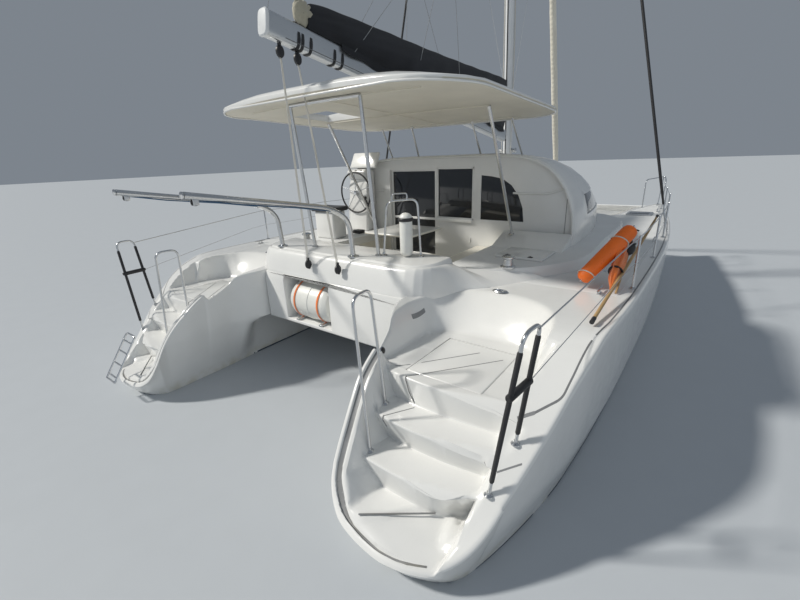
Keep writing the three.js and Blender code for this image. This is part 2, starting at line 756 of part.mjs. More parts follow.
// Panes set in the walls of the deckhouse
const PANE = { depth: 14, thick: 10 };
const paneSkin = cut(
  houseSkin(PANE.depth, 20, PANE.depth),
  houseSkin(PANE.depth + PANE.thick, -50, PANE.depth + PANE.thick, 60),
);
addPair("side_window", paneSkin.intersect(windowBlock(SIDE_WINDOW, GAP)), GLAZING);
addPair("front_window", paneSkin.intersect(windowBlock(FRONT_WINDOW, GAP)), GLAZING);

// Aft wall with its doorway and windows
const AFT_WALL_X = [BULKHEAD_X + 45, BULKHEAD_X + 45 + WALL];
const DOORWAY = { y: [150, 1120], z: [1110, 2680] };
const AFT_PANES = {
  centre_window: [[-560, 1900], [80, 1900], [80, 2680], [-560, 2680]],
  arch_window: [[-710, 1890], [-710, 2580], [-900, 2560], ...arc(-900, 1890, 530, 670, 90, 180, 5)],
};
function insetOutline(outline, margin) {
  const middle = outline.reduce(([u, v], [y, z]) => [u + y / outline.length, v + z / outline.length], [0, 0]);
  return outline.map(([y, z]) => {
    const reach = Math.hypot(y - middle[0], z - middle[1]);
    const share = 1 - (margin * 1.5) / reach;
    return [middle[0] + (y - middle[0]) * share, middle[1] + (z - middle[1]) * share];
  });
}
function buildAftWall() {
  const room = houseSkin(WALL + 1, -50, WALL, 60);
  const upper = room.intersect(block(AFT_WALL_X, [-2500, 2500], [COAMING_Z + GAP, 3000]));
  const lower = block(
    AFT_WALL_X,
    [-COCKPIT_HALF_WIDTH + GAP, COCKPIT_HALF_WIDTH - GAP],
    [SOLE_Z + GAP, COAMING_Z + 50],
  );
  const track = block(
    [AFT_WALL_X[1] - 5, AFT_WALL_X[1] + 50],
    [-COCKPIT_HALF_WIDTH + GAP, COCKPIT_HALF_WIDTH - GAP],
    [SOLE_Z + GAP, DOORWAY.z[0] - 40],
  );
  const holes = Object.values(AFT_PANES).map((outline) =>
    crossPlate(outline, AFT_WALL_X[0] - 10, AFT_WALL_X[1] + 60),
  );
  const doorway = block([AFT_WALL_X[0] - 10, AFT_WALL_X[1]], DOORWAY.y, DOORWAY.z);
  return cut(joined(upper, lower, track), doorway, ...holes);
}
add("aft_wall", buildAftWall(), GELCOAT);
for (const [name, outline] of Object.entries(AFT_PANES)) {
  const x = AFT_WALL_X[0] + 15;
  add(name, crossPlate(insetOutline(outline, GAP), x, x + PANE.thick), GLAZING);
}

// Sliding door inside the aft wall, running on the track
const DOOR = {
  x: [AFT_WALL_X[1] + 8, AFT_WALL_X[1] + 38],
  y: [110, 1150],
  z: [DOORWAY.z[0] - 40 + GAP, 2720],
};
const DOOR_STILE = 70;
const doorLight = {
  y: [DOOR.y[0] + DOOR_STILE, DOOR.y[1] - DOOR_STILE],
  z: [DOOR.z[0] + 140, DOOR.z[1] - DOOR_STILE],
};
add(
  "saloon_door",
  cut(block(DOOR.x, DOOR.y, DOOR.z), block([DOOR.x[0] - 5, DOOR.x[1] + 5], doorLight.y, doorLight.z)),
  GELCOAT,
);
add(
  "saloon_door_glass",
  block(
    [DOOR.x[0] + 10, DOOR.x[0] + 20],
    [doorLight.y[0] + GAP, doorLight.y[1] - GAP],
    [doorLight.z[0] + GAP, doorLight.z[1] - GAP],
  ),
  GLAZING,
);

// Hard top over the cockpit on its posts: cambered sections from its aft to its fore edge
const TOP = { aft: 1700, fore: 4930, half: 1850, edge: 3440, camber: 60, crown: 75, level: 3400, tilt: 0.045 };
const TOP_CORNER = { aft: 620, fore: 560 };
const TOP_STATIONS = [1700, 1725, 1780, 1880, 2060, 2320, 2700, 3450, 4000, 4380, 4580, 4760, 4870, 4930];
const topCamber = (x) => (TOP.camber * (TOP.fore - x)) / (TOP.fore - TOP.aft);
const topZ = (x, y = TOP.half) =>
  TOP.edge + (TOP.level - Math.max(x, 2400)) * TOP.tilt + topCamber(x) * (1 - (y / TOP.half) ** 2);
// The crown falls away forward, where the boom passes over it
const topCrown = (x) => TOP.crown * Math.min(1, Math.max(0, (TOP.fore - x) / 700));
function topHalf(x) {
  const reach = (corner, run) => {
    const past = Math.max(0, corner - run);
    return TOP.half - corner + Math.sqrt(corner ** 2 - past ** 2);
  };
  return Math.min(reach(TOP_CORNER.aft, x - TOP.aft), reach(TOP_CORNER.fore, TOP.fore - x));
}
const TOP_SHARES = [0, 0.25, 0.5, 0.75, 1];
const topY = (x, share) => share * (topHalf(x) - 30);
function topRing(x) {
  const w = topHalf(x);
  const end = Math.min(1, Math.min(x - TOP.aft, TOP.fore - x) / 180);
  const rise = topCrown(x) * Math.sqrt(end);
  const under = TOP_SHARES.map((share) => [topY(x, share), topZ(x, topY(x, share))]);
  const lip = [[w, topZ(x, w) + 25], [w - 8, topZ(x, w) + 45]];
  const over = [[0.86, 0.35], [0.7, 0.7], [0.5, 0.93], [0.25, 1], [0, 1]].map(([share, height]) => [
    share * w,
    topZ(x, 0.25 * w) + 45 - (1 - height) * (topZ(x, 0.25 * w) - topZ(x, w)) + rise * height,
  ]);
  const port = [...under, ...lip, ...over];
  const starboard = port.slice(1, -1).map(([y, z]) => [-y, z]).reverse();
  return [...port, ...starboard].map(([y, z]) => [x, y, z]);
}
const HELM_HATCH = { x: [2750, 3450], y: [650, 1350] };
function buildHardTop() {
  const shell = loft(TOP_STATIONS.map(topRing));
  return cut(shell, block(HELM_HATCH.x, HELM_HATCH.y, [TOP.edge - 200, TOP.edge + 300]));
}
add("hard_top", buildHardTop(), GELCOAT);

// Frame of rails under the top, on legs; each rail bends at the creases of the underside
const POST = { radius: 22, light: 16, aft: 2060, middle: 3450, fore: 4580 };
function buildTopFrame() {
  const under = (x, y) => topZ(x, y) - (POST.radius + GAP) * Math.hypot(1, TOP.tilt) - 0.2;
  const head = (x, y) => [x, y, under(x, y)];
  const crossing = (x, share) => [x, topY(x, share), under(x, topY(x, share))];
  const shares = [-0.75, -0.5, -0.25, 0, 0.25, 0.5, 0.75];
  const node = (x, share) => (share < 0 ? crossing(x, -share).map((v, k) => (k === 1 ? -v : v)) : crossing(x, share));
  const rails = [POST.aft, POST.middle, POST.fore].map((x) => tube(shares.map((k) => node(x, k)), POST.radius));
  const along = TOP_STATIONS.filter((x) => x >= POST.aft && x <= POST.fore).map((x) => head(x, 0));
  const keelson = tube(along, POST.radius);
  const low = (x, y) => [x, y, under(x, y) - 4];
  const legs = [-1, 1].flatMap((side) => [
    tube([[2220, side * 560, BEAM_TOP_Z - 40], low(POST.aft, side * 560)], POST.radius),
    tube([[4440, side * 1350, COAMING_Z - 40], low(POST.middle, side * 1360)], POST.radius),
    tube([[4860, side * 600, HOUSE[0].top - 60], low(POST.fore, side * 560)], POST.light),
    tube([[4980, side * 1250, HOUSE[0].top - 120], low(POST.fore, side * 1190)], POST.light),
  ]);
  const frame = joined(...rails, keelson, ...legs);
  return trimmed(trimmed(frame, houseOuter, [0, 0, 1]), coaming, [0, 0, 1]);
}
add("top_frame", buildTopFrame(), STEEL);

// Mast, raked aft, with its spreaders
const MAST = { fore: 130, side: 80 };
const mastX = (z) => MAST_FOOT[0] - (z - MAST_FOOT[1]) * Math.tan(MAST_RAKE);
function mastRing(z, scale = 1) {
  return arc(mastX(z), 0, MAST.fore * scale, MAST.side * scale, 0, 330, 11).map(([x, y]) => [x, y, z]);
}
const SPREADER = { z: 8600, reach: 950, sweep: 330, radius: 28 };
const PIVOT = { reach: 75, eye: 24, half: 30, lug: 12 };
const GOOSENECK = [mastX(GOOSENECK_Z) - MAST.fore - PIVOT.reach, 0, GOOSENECK_Z];
function buildMast() {
  const pole = loft([mastRing(MAST_FOOT[1]), mastRing(HOUNDS_Z), mastRing(MAST_TOP_Z, 0.7)]);
  const x = mastX(SPREADER.z);
  const spreaders = tube(
    [
      [x - SPREADER.sweep, -SPREADER.reach, SPREADER.z + 60],
      [x, 0, SPREADER.z],
      [x - SPREADER.sweep, SPREADER.reach, SPREADER.z + 60],
    ],
    SPREADER.radius,
  );
  const lugs = [1, -1].map((side) => {
    const ends = [side * (PIVOT.half + GAP), side * (PIVOT.half + PIVOT.lug)].sort((a, b) => a - b);
    return placed(block([-30, PIVOT.reach + 30], [-28, 28], ends), GOOSENECK, [0, -MAST_RAKE, 0]);
  });
  return trimmed(joined(pole, spreaders, ...lugs), houseOuter, [0, 0, 1]);
}
const mast = buildMast();
add("mast", mast, ALLOY);

// Boom and the cover on it, turning about a line parallel to the mast
const BOOM = { height: 230, width: 130, start: 70 };
const boomGroup = new THREE.Group();
boomGroup.position.set(...GOOSENECK);
boomGroup.rotation.y = BOOM_RISE;
boat.add(boomGroup);
const BOOM_SECTION = [
  [-0.5, -0.36],
  [-0.3, -0.5],
  [0.3, -0.5],
  [0.5, -0.36],
  [0.5, 0.36],
  [0.3, 0.5],
  [-0.3, 0.5],
  [-0.5, 0.36],
];
function buildBoom() {
  const outline = BOOM_SECTION.map(([y, z]) => [y * BOOM.width, z * BOOM.height]);
  const spar = crossPlate(outline, -BOOM_LENGTH, -BOOM.start);
  const { eye, half } = PIVOT;
  const knuckle = placed(
    turned([[0, -half], [eye, -half], [eye, half], [0, half]], 12),
    [0, 0, 0],
    [0, -MAST_RAKE - BOOM_RISE, 0],
  );
  const arm = block([-BOOM.start - 10, 0], [-13, 13], [-20, 20]);
  return joined(spar, knuckle, arm);
}
add("boom", buildBoom(), ALLOY, boomGroup);

// Stations of the cover along the boom: height and half width of the folded sail in it
const COVER_STATIONS = [
  { along: 560, height: 250, half: 60 },
  { along: 1400, height: 420, half: 130 },
  { along: 2800, height: 620, half: 165 },
  { along: 4300, height: 800, half: 170 },
  { along: 5250, height: 880, half: 150 },
  { along: 5560, height: 900, half: 100 },
];
function buildCover() {
  const foot = BOOM.height / 2 + GAP;
  const rings = COVER_STATIONS.map(({ along, height, half }) => {
    const section = [
      [-half * 0.6, 0],
      [-half, height * 0.3],
      [-half * 0.7, height * 0.75],
      [-half * 0.2, height],
      [half * 0.2, height],
      [half * 0.7, height * 0.75],
      [half, height * 0.3],
      [half * 0.6, 0],
    ];
    return section.map(([y, z]) => [along - BOOM_LENGTH, y, foot + z]);
  });
  return loft(rings);
}
add("sail_cover", buildCover(), COVER, boomGroup);

// Furled headsail on its stay, and the shrouds
function stayRing(share, radius) {
  const top = [mastX(HOUNDS_Z) + MAST.fore - 40, HOUNDS_Z];
  const x = THREE.MathUtils.lerp(STAY_FOOT[0], top[0], share);
  const z = THREE.MathUtils.lerp(STAY_FOOT[1], top[1], share);
  return arc(0, 0, radius, radius, 0, 315, 7).map(([u, v]) => [x + u, v, z + u * 0.36]);
}
const HEADSAIL = [
  { share: 0, radius: 14 },
  { share: 0.012, radius: 14 },
  { share: 0.0125, radius: 90 },
  { share: 0.02, radius: 90 },
  { share: 0.0205, radius: 40 },
  { share: 0.045, radius: 55 },
  { share: 0.2, radius: 82 },
  { share: 0.6, radius: 62 },
  { share: 0.93, radius: 34 },
  { share: 0.935, radius: 9 },
  { share: 1, radius: 9 },
];
const SHROUD_RADIUS = 11;
function buildShroud() {
  const top = [mastX(HOUNDS_Z), 40, HOUNDS_Z - 80];
  const wire = tube([[CHAINPLATE[0], CHAINPLATE[1], DECK_Z - 30], top], SHROUD_RADIUS, 0, 6);
  return trimmed(trimmed(wire, mast, [0, 1, 0]), hullPort, [0, 0, 1]);
}
addPair("shroud", buildShroud(), STEEL);

// Forward beam, the spine that carries the anchor, and the nets
const CROSSBEAM = { x: 11050, z: 1395, radius: 85 };
function buildCrossbeam() {
  const reach = 2560;
  const { x, z, radius } = CROSSBEAM;
  const pole = tube([[x, -reach, z], [x, reach, z]], radius, 0, 12);
  return trimmed(trimmed(pole, hullPort, [0, -1, 0]), hullStarboard, [0, 1, 0]);
}
const crossbeam = buildCrossbeam();
add("crossbeam", crossbeam, ALLOY);

const SPINE = { x: [8620, 11330], half: 200, z: [DECK_Z + GAP, DECK_Z + 75] };
function buildSpine() {
  const body = block(SPINE.x, [-SPINE.half, SPINE.half], SPINE.z);
  const roller = block([11230, 11420], [60, 140], [DECK_Z + 20, DECK_Z + 130]);
  return trimmed(body, coaming, [1, 0, 0]).add(roller);
}
const spine = buildSpine();
add("bow_spine", spine, GELCOAT);

const headsail = loft(HEADSAIL.map(({ share, radius }) => stayRing(share, radius)));
add("furled_headsail", trimmed(trimmed(headsail, mast, [1, 0, 0]), spine, [0, 0, 1]), SAILCLOTH);

const NET = { x: [8660, 11050], z: [DECK_Z - 28, DECK_Z - 10] };
function buildNet() {
  const sheet = block(NET.x, [2, 2500], NET.z);
  const clearOfBeam = trimmed(trimmed(sheet, crossbeam, [-1, 0, 0]), bridge, [1, 0, 0]);
  return trimmed(clearOfBeam, hullPort, [0, -1, 0]);
}
addPair("net", buildNet(), NETTING);

// Rails round the deck
const RAIL = 13;
const STANCHIONS = [3300, 4900, 6500, 8100, 9500];
const RAIL_Z = 2160;
const LIFELINE_Z = 2030;
const edgeY = (x) => between(STATIONS, x, "outer") - 90;
function buildGuardrail() {
  const post = (x) => tube([[x, edgeY(x), DECK_Z - 30], [x, edgeY(x), LIFELINE_Z + 20]], RAIL);
  const feet = STANCHIONS.map(post);
  const wire = (z) => tube([...STANCHIONS, 10350].map((x) => [x, edgeY(x), z]), 6, 0, 6);
  const pulpit = tube(
    [
      [10350, edgeY(10350), DECK_Z - 30],
      [10350, edgeY(10350), RAIL_Z],
      [11380, 2650, RAIL_Z + 20],
      [11380, 2580, RAIL_Z + 20],
      [10500, 2330, RAIL_Z],
      [10500, 2330, DECK_Z - 30],
    ],
    RAIL,
    110,
  );
  const front = tube([[11380, 2615, RAIL_Z + 22], [11180, 2600, DECK_Z - 30]], RAIL);
  const rail = joined(pulpit, front, ...feet, wire(LIFELINE_Z));
  return trimmed(rail, hullPort, [0, 0, 1]);
}
const guardrail = buildGuardrail();
addPair("guardrail", guardrail, STEEL);

const STAIR_RAILS = {
  stair_rail_inner: [[530, 1770, 700], [620, 1625, 1900], [870, 1590, 1900], [800, 1700, 950]],
  stair_rail_outer: [[570, 2750, 330], [660, 2930, 1900], [890, 2950, 1900], [850, 2820, 560]],
};
for (const [name, points] of Object.entries(STAIR_RAILS)) {
  addPair(name, trimmed(tube(points, RAIL, 90), hullPort, [0, 0, 1]), STEEL);
}

function buildAftRail() {
  const rail = tube(
    [[2250, -620, BEAM_TOP_Z - 60], [2250, -700, 2420], [2400, -1020, 2440], [2420, -1040, BEAM_TOP_Z - 160]],
    RAIL,
    90,
  );
  return trimmed(rail, coaming, [0, 0, 1]);
}
add("aft_rail", buildAftRail(), STEEL);

// Davit arms over the stern
const DAVIT = { radius: 30, y: { port: 1000, starboard: -330 } };
function buildDavit(y) {
  const arm = tube(
    [[2020, y, COAMING_Z - 60], [1990, y, 2230], [1700, y, 2390], [160, y, 2660]],
    DAVIT.radius,
    180,
  );
  return trimmed(arm, coaming, [0, 0, 1]);
}
for (const [name, y] of Object.entries(DAVIT.y)) add(`davit_${name}`, buildDavit(y), STEEL);

// Things on deck
const RAFT = { radius: 270, length: 740 };
const raft = alongX(
  [
    [0, 0],
    [RAFT.radius * 0.8, 0],
    [RAFT.radius, 60],
    [RAFT.radius, RAFT.length - 60],
    [RAFT.radius * 0.8, RAFT.length],
    [0, RAFT.length],
  ],
  14,
);
const raftZ = RAFT_LOCKER.z[0] + RAFT.radius * Math.cos(Math.PI / 14) + GAP;
add("raft_canister", placed(raft, [2040, 0, raftZ], [0, 0, Math.PI / 2]), CANISTER);

const HELM = { x: 4300, y: 1670, z: 2330, wheel: 360 };
const helmConsole = sidePlate(
  [
    [HELM.x, COAMING_Z + GAP],
    [BULKHEAD_X - GAP, COAMING_Z + GAP],
    [BULKHEAD_X - GAP, 2700],
    [4480, 2700],
    [HELM.x + 60, 2400],
    [HELM.x + 60, 2200],
  ],
  1440,
  1900,
);
add("helm_console", helmConsole, GELCOAT);

function buildWheel() {
  const ring = new THREE.TorusGeometry(HELM.wheel, 15, 6, 20);
  const rim = solid(ring);
  const spokes = [0, 1, 2].map((i) => {
    const a = (i * 2 * Math.PI) / 3;
    return tube([[0, 0, 0], [HELM.wheel * Math.cos(a), HELM.wheel * Math.sin(a), 0]], 9, 0, 6);
  });
  const hub = turned([[0, -60], [45, -60], [45, 25], [0, 25]], 12);
  return joined(rim, hub, ...spokes);
}
const wheel = add("steering_wheel", buildWheel(), STEEL);
wheel.position.set(HELM.x - GAP, HELM.y, HELM.z - 30);
wheel.rotation.set(0, -Math.PI / 2, 0);

const SEAT = { x: [3330, 3760], y: [1330, 1900], top: 2060, inset: 60, pad: 80 };
add(
  "helm_seat_base",
  block(
    [SEAT.x[0] + SEAT.inset, SEAT.x[1] - SEAT.inset],
    [SEAT.y[0] + SEAT.inset, SEAT.y[1] - SEAT.inset],
    [COAMING_Z + GAP, SEAT.top],
  ),
  GELCOAT,
);
add("helm_seat_pad", block(SEAT.x, SEAT.y, [SEAT.top + GAP, SEAT.top + SEAT.pad]), CUSHION);

const TABLE = { x: [3500, 4420], y: [-120, 780], top: 1760, thick: 36, leg: 55 };
function buildTable() {
  const top = block(TABLE.x, TABLE.y, [TABLE.top - TABLE.thick, TABLE.top]);
  const x = (TABLE.x[0] + TABLE.x[1]) / 2;
  const y = (TABLE.y[0] + TABLE.y[1]) / 2;
  const rise = TABLE.top - SOLE_Z - 10;
  const profile = [[0, 0], [190, 0], [190, 15], [TABLE.leg, 40], [TABLE.leg, rise], [0, rise]];
  return top.add(placed(turned(profile, 12), [x, y, SOLE_Z + GAP]));
}
add("cockpit_table", buildTable(), GELCOAT);

// Hatches on the side decks and foredecks
const HATCHES = {
  side_hatch: { x: [3480, 4040], y: [1500, 2120], z: COAMING_Z },
  fore_hatch: { x: [9050, 9550], y: [2180, 2680], z: DECK_Z },
};
const HATCH_THICK = 34;
for (const [name, hatch] of Object.entries(HATCHES)) {
  const z = [hatch.z + GAP, hatch.z + HATCH_THICK];
  const lid = block(hatch.x, hatch.y, z);
  if (name === "side_hatch") add(`${name}_starboard`, mirrored(lid), GELCOAT);
  else addPair(name, lid, GLAZING);
}

// Swimming ladder folded over the port stairs, and its hinge
const ladderGroup = new THREE.Group();
ladderGroup.position.set(...LADDER.hinge);
ladderGroup.rotation.y = -LADDER.lean;
boat.add(ladderGroup);
function buildLadder() {
  const { half, length } = LADDER;
  const sides = tube([[0, -half, 0], [length, -half, 0], [length, half, 0], [0, half, 0]], LADDER_TUBE, 60);
  const rungs = [0, 0.32, 0.62].map((share) =>
    tube([[length * share, -half, 0], [length * share, half, 0]], LADDER_TUBE),
  );
  return joined(sides, ...rungs);
}
add("swim_ladder", buildLadder(), STEEL, ladderGroup);

// Float of the marker buoy at the starboard rail, and a fender in the aft rail
const buoy = tube([[3230, -2865, 1560], [3330, -3045, 2080]], 110, 0, 10);
add("danbuoy_float", trimmed(buoy, mirrored(guardrail), [0, 1, 0]), ORANGE);
const fender = turned([[0, 0], [60, 30], [75, 90], [75, 420], [60, 480], [0, 510]], 12);
add("fender", placed(fender, [2330, -900, BEAM_TOP_Z + GAP]), CANISTER);

export default boat;
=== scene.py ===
# A cruising sailing catamaran, afloat with its sails stowed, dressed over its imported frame.
# Lengths are in metres. Shapes are drawn from the stern forward (x), to port (y) and up (z),
# with z = 0 at the waterline, and every mesh is moved back by half the length when it is made.
import math

import bmesh
import bpy
import numpy as np
from mathutils import Matrix, Vector


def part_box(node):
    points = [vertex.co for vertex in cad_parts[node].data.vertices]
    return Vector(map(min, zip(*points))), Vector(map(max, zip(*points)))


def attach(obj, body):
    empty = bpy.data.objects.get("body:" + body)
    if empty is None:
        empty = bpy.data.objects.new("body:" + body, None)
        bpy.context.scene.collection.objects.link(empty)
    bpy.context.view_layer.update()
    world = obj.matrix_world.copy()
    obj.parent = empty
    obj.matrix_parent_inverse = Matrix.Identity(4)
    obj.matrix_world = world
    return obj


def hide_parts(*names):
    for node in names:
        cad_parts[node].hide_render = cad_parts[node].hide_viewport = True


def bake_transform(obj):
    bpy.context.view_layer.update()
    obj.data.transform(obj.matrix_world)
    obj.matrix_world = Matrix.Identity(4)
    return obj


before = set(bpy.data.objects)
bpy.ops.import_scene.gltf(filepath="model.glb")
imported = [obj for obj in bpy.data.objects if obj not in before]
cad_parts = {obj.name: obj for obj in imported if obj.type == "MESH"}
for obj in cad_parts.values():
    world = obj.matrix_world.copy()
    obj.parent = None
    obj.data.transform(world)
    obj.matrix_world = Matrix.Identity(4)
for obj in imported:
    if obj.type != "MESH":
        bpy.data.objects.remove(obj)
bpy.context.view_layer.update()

LENGTH = 11.55
MID = LENGTH / 2
DECK = 1.48
SIDES = ((1, "port"), (-1, "starboard"))


# Small numeric helpers

def smooth_curve(xs, ys):
    """A smooth curve through points that never overshoots them."""
    xs, ys = np.asarray(xs, float), np.asarray(ys, float)
    h, d = np.diff(xs), np.diff(ys) / np.diff(xs)
    m = np.zeros_like(ys)
    same = d[:-1] * d[1:] > 0
    near, far = 2 * h[1:] + h[:-1], h[1:] + 2 * h[:-1]
    inner = (near + far) / (near / np.where(same, d[:-1], 1) + far / np.where(same, d[1:], 1))
    m[1:-1] = np.where(same, inner, 0)
    m[0], m[-1] = d[0], d[-1]

    def at(x):
        x = np.clip(np.asarray(x, float), xs[0], xs[-1])
        i = np.clip(np.searchsorted(xs, x, side="right") - 1, 0, len(xs) - 2)
        t = (x - xs[i]) / h[i]
        a, b = 2 * t**3 - 3 * t**2 + 1, t**3 - 2 * t**2 + t
        return a * ys[i] + b * h[i] * m[i] + (1 - a) * ys[i + 1] + (t**3 - t**2) * h[i] * m[i + 1]

    return at


def soft_min(a, b, k):
    h = np.maximum(k - np.abs(a - b), 0) / k
    return np.minimum(a, b) - h * h * k / 4


def soft_max(a, b, k):
    return -soft_min(-np.asarray(a), -np.asarray(b), k)


def ease(a, b, x):
    t = np.clip((np.asarray(x, float) - a) / (b - a), 0, 1)
    return t * t * (3 - 2 * t)


def spans(stops, counts):
    """Values along each row of stops, with a count of steps between each pair of stops."""
    parts = []
    for k, count in enumerate(counts):
        t = np.linspace(0, 1, count + 1)[: -1 if k + 1 < len(counts) else None]
        parts.append(stops[..., k, None] * (1 - t) + stops[..., k + 1, None] * t)
    return np.concatenate(parts, axis=-1)


def between(a, b, shares):
    """Points on the line from a to b, at shares of its length."""
    a, b = np.array(a), np.array(b)
    return [tuple(a * (1 - t) + b * t) for t in shares]


def circle(count, start=0.0, end=2 * math.pi):
    return np.linspace(start, end, count)


# Materials

def feed(tree, node, inputs):
    """Links a node's inputs to sockets, or sets them to values."""
    for key, value in inputs.items():
        if isinstance(value, bpy.types.NodeSocket):
            tree.links.new(value, node.inputs[key])
        else:
            node.inputs[key].default_value = value


def add_node(tree, kind, inputs, **properties):
    node = tree.nodes.new("ShaderNode" + kind)
    for key, value in properties.items():
        setattr(node, key, value)
    feed(tree, node, inputs)
    return node


def math_node(tree, operation, *values):
    return add_node(tree, "Math", dict(enumerate(values)), operation=operation).outputs[0]


def ramp(tree, source, low, high):
    return add_node(tree, "MapRange", {"Value": source, "From Min": low, "From Max": high}).outputs["Result"]


def relief(tree, vector, kind, scale, direction):
    """Height of a regular pattern: dots, bands in one direction, or a weave."""
    def wave(axis, distortion=0.0):
        inputs = {"Vector": vector, "Scale": scale, "Distortion": distortion}
        return add_node(tree, "TexWave", inputs, bands_direction=axis).outputs["Fac"]

    if kind == "dots":
        cells = add_node(tree, "TexVoronoi", {"Vector": vector, "Scale": scale})
        return ramp(tree, cells.outputs["Distance"], 0.15, 0.5)
    if kind == "bands":
        return wave(direction, 0.6)
    return math_node(tree, "MULTIPLY", wave("X"), wave("Z"))


def finish(name, color, rough, metal=0.0, vary=0.06, rough_vary=0.08, bump=0.02, bump_scale=90.0,
           stain=None, coat=0.0, sheen=0.0, pattern=None, stretch=(1, 1, 1)):
    """A finish with colour drift, worn patches, roughness and relief, all from noise on the object."""
    material = bpy.data.materials.new(name)
    material.use_nodes = True
    tree = material.node_tree
    place = add_node(tree, "TexCoord", {}).outputs["Object"]
    vector = add_node(tree, "Mapping", {"Vector": place, "Scale": stretch}).outputs["Vector"]

    def noise(scale, detail=4.0):
        inputs = {"Vector": vector, "Scale": scale, "Detail": detail}
        return add_node(tree, "TexNoise", inputs).outputs["Fac"]

    def mix(factor, *colors):
        a, b = ((*c, 1) if isinstance(c, tuple) else c for c in colors)
        return add_node(tree, "Mix", {"Factor": factor, "A": a, "B": b}, data_type="RGBA").outputs["Result"]

    def tint(amount):
        return tuple(min(1.0, c * (1 + amount)) for c in color)

    tone = mix(ramp(tree, noise(3.0), 0.3, 0.7), tint(-vary), tint(vary))
    tone = mix(ramp(tree, noise(60.0, 2.0), 0.62, 0.8), tone, tint(-2.2 * vary))
    if stain:
        stain_color, low, high = stain
        split = add_node(tree, "SeparateXYZ", {"Vector": place})
        level = ramp(tree, split.outputs["Z"], high, low)
        tone = mix(math_node(tree, "MULTIPLY", level, ramp(tree, noise(7.0), 0.35, 0.75)), tone, stain_color)
    heights = [(noise(bump_scale), bump)]
    if pattern:
        kind, scale, depth, direction = pattern
        heights.append((relief(tree, vector, kind, scale, direction), depth))
    normal = {}
    for source, depth in heights:
        inputs = {"Strength": 0.6, "Distance": depth * 0.01, "Height": source, **normal}
        normal = {"Normal": add_node(tree, "Bump", inputs).outputs["Normal"]}
    spread = {"Value": noise(12.0), "To Min": max(0.02, rough - rough_vary),
              "To Max": min(1.0, rough + rough_vary)}
    feed(tree, tree.nodes["Principled BSDF"], {
        "Base Color": tone, "Roughness": add_node(tree, "MapRange", spread).outputs["Result"], **normal,
        "Metallic": metal, "Coat Weight": coat, "Coat Roughness": 0.08, "Sheen Weight": sheen,
    })
    return material


def net_cord():
    """Square mesh of knotted cord, drawn as see-through openings on the net."""
    material = finish("net_cord", (0.66, 0.66, 0.63), 0.85, vary=0.08, bump=0.2)
    tree = material.node_tree
    place = add_node(tree, "TexCoord", {}).outputs["Object"]
    split = add_node(tree, "SeparateXYZ", {"Vector": place})
    lines = []
    for axis in ("X", "Y"):
        part = math_node(tree, "FRACT", math_node(tree, "MULTIPLY", split.outputs[axis], MESHES_PER_METRE))
        away = math_node(tree, "SUBTRACT", part, 0.5)
        lines.append(math_node(tree, "COMPARE", away, 0.0, 0.11))
    feed(tree, tree.nodes["Principled BSDF"], {"Alpha": math_node(tree, "MAXIMUM", *lines)})
    return material


MESHES_PER_METRE = 28.0
LAY = ("bands", 70.0, 0.4, "DIAGONAL")
GELCOAT = finish("gelcoat_white", (0.76, 0.76, 0.74), 0.22, vary=0.02, bump=0.05, bump_scale=6.0, coat=0.35,
                 stain=((0.55, 0.52, 0.40), 0.0, 0.16))
NONSKID = finish("gelcoat_nonskid", (0.74, 0.745, 0.735), 0.55, vary=0.03, bump=0.1, bump_scale=220.0,
                 pattern=("dots", 160.0, 0.12, None))
CREAM = finish("moulding_cream", (0.76, 0.73, 0.64), 0.4, vary=0.04, coat=0.15, bump=0.04)
ANTIFOUL = finish("antifouling_blue", (0.035, 0.055, 0.085), 0.8, vary=0.3, bump=0.3, bump_scale=40.0,
                  stain=((0.12, 0.13, 0.07), -1.2, 0.05))
STEEL = finish("stainless_steel", (0.62, 0.63, 0.64), 0.2, metal=1.0, vary=0.05, bump=0.01, rough_vary=0.1)
BLACK_SLEEVE = finish("black_sleeve", (0.018, 0.018, 0.02), 0.55, vary=0.2, bump=0.2,
                      pattern=("bands", 60.0, 0.1, "Z"))
ALLOY = finish("spar_alloy", (0.60, 0.62, 0.64), 0.34, metal=0.85, vary=0.06, stretch=(0.3, 1, 1))
SPAR_WHITE = finish("spar_white", (0.72, 0.73, 0.73), 0.3, vary=0.03, coat=0.2)
BRONZE = finish("propeller_bronze", (0.46, 0.32, 0.13), 0.35, metal=0.9, vary=0.25, rough_vary=0.2)
GLASS = finish("tinted_glass", (0.016, 0.018, 0.022), 0.07, vary=0.1, rough_vary=0.04, coat=0.5, bump=0.0)
# Dark grey: the own colour of the gaskets, seams and grooves, and painted shade along the deck joint
GASKET_GREY_AND_SHADE = finish("gasket_grey_and_painted_shade", (0.16, 0.165, 0.17), 0.6, vary=0.15, bump=0.1)
# Dark grey: the seams' and the vent's own colour, and painted shade in the gutter and along the drain;
# browner in patches low down
SEAM_GREY_AND_SHADE = finish("seam_grey_and_painted_shade", (0.22, 0.225, 0.23), 0.5, vary=0.15, bump=0.1,
                stain=((0.2, 0.19, 0.15), 0.1, 0.6))
CANVAS = finish("canvas_black", (0.012, 0.013, 0.017), 0.85, vary=0.25, sheen=0.08, bump=0.15,
                bump_scale=14.0, pattern=("weave", 320.0, 0.06, None))
CLEW = finish("sailcloth_khaki", (0.40, 0.37, 0.28), 0.75, vary=0.2, sheen=0.3, bump=0.25, bump_scale=30.0)
SAIL = finish("sailcloth_cream", (0.70, 0.66, 0.56), 0.7, vary=0.08, sheen=0.3, bump=0.2, bump_scale=25.0,
              pattern=("bands", 3.2, 0.6, "Z"))
ROPE_WHITE = finish("rope_white", (0.66, 0.64, 0.58), 0.8, vary=0.1, sheen=0.3, pattern=LAY)
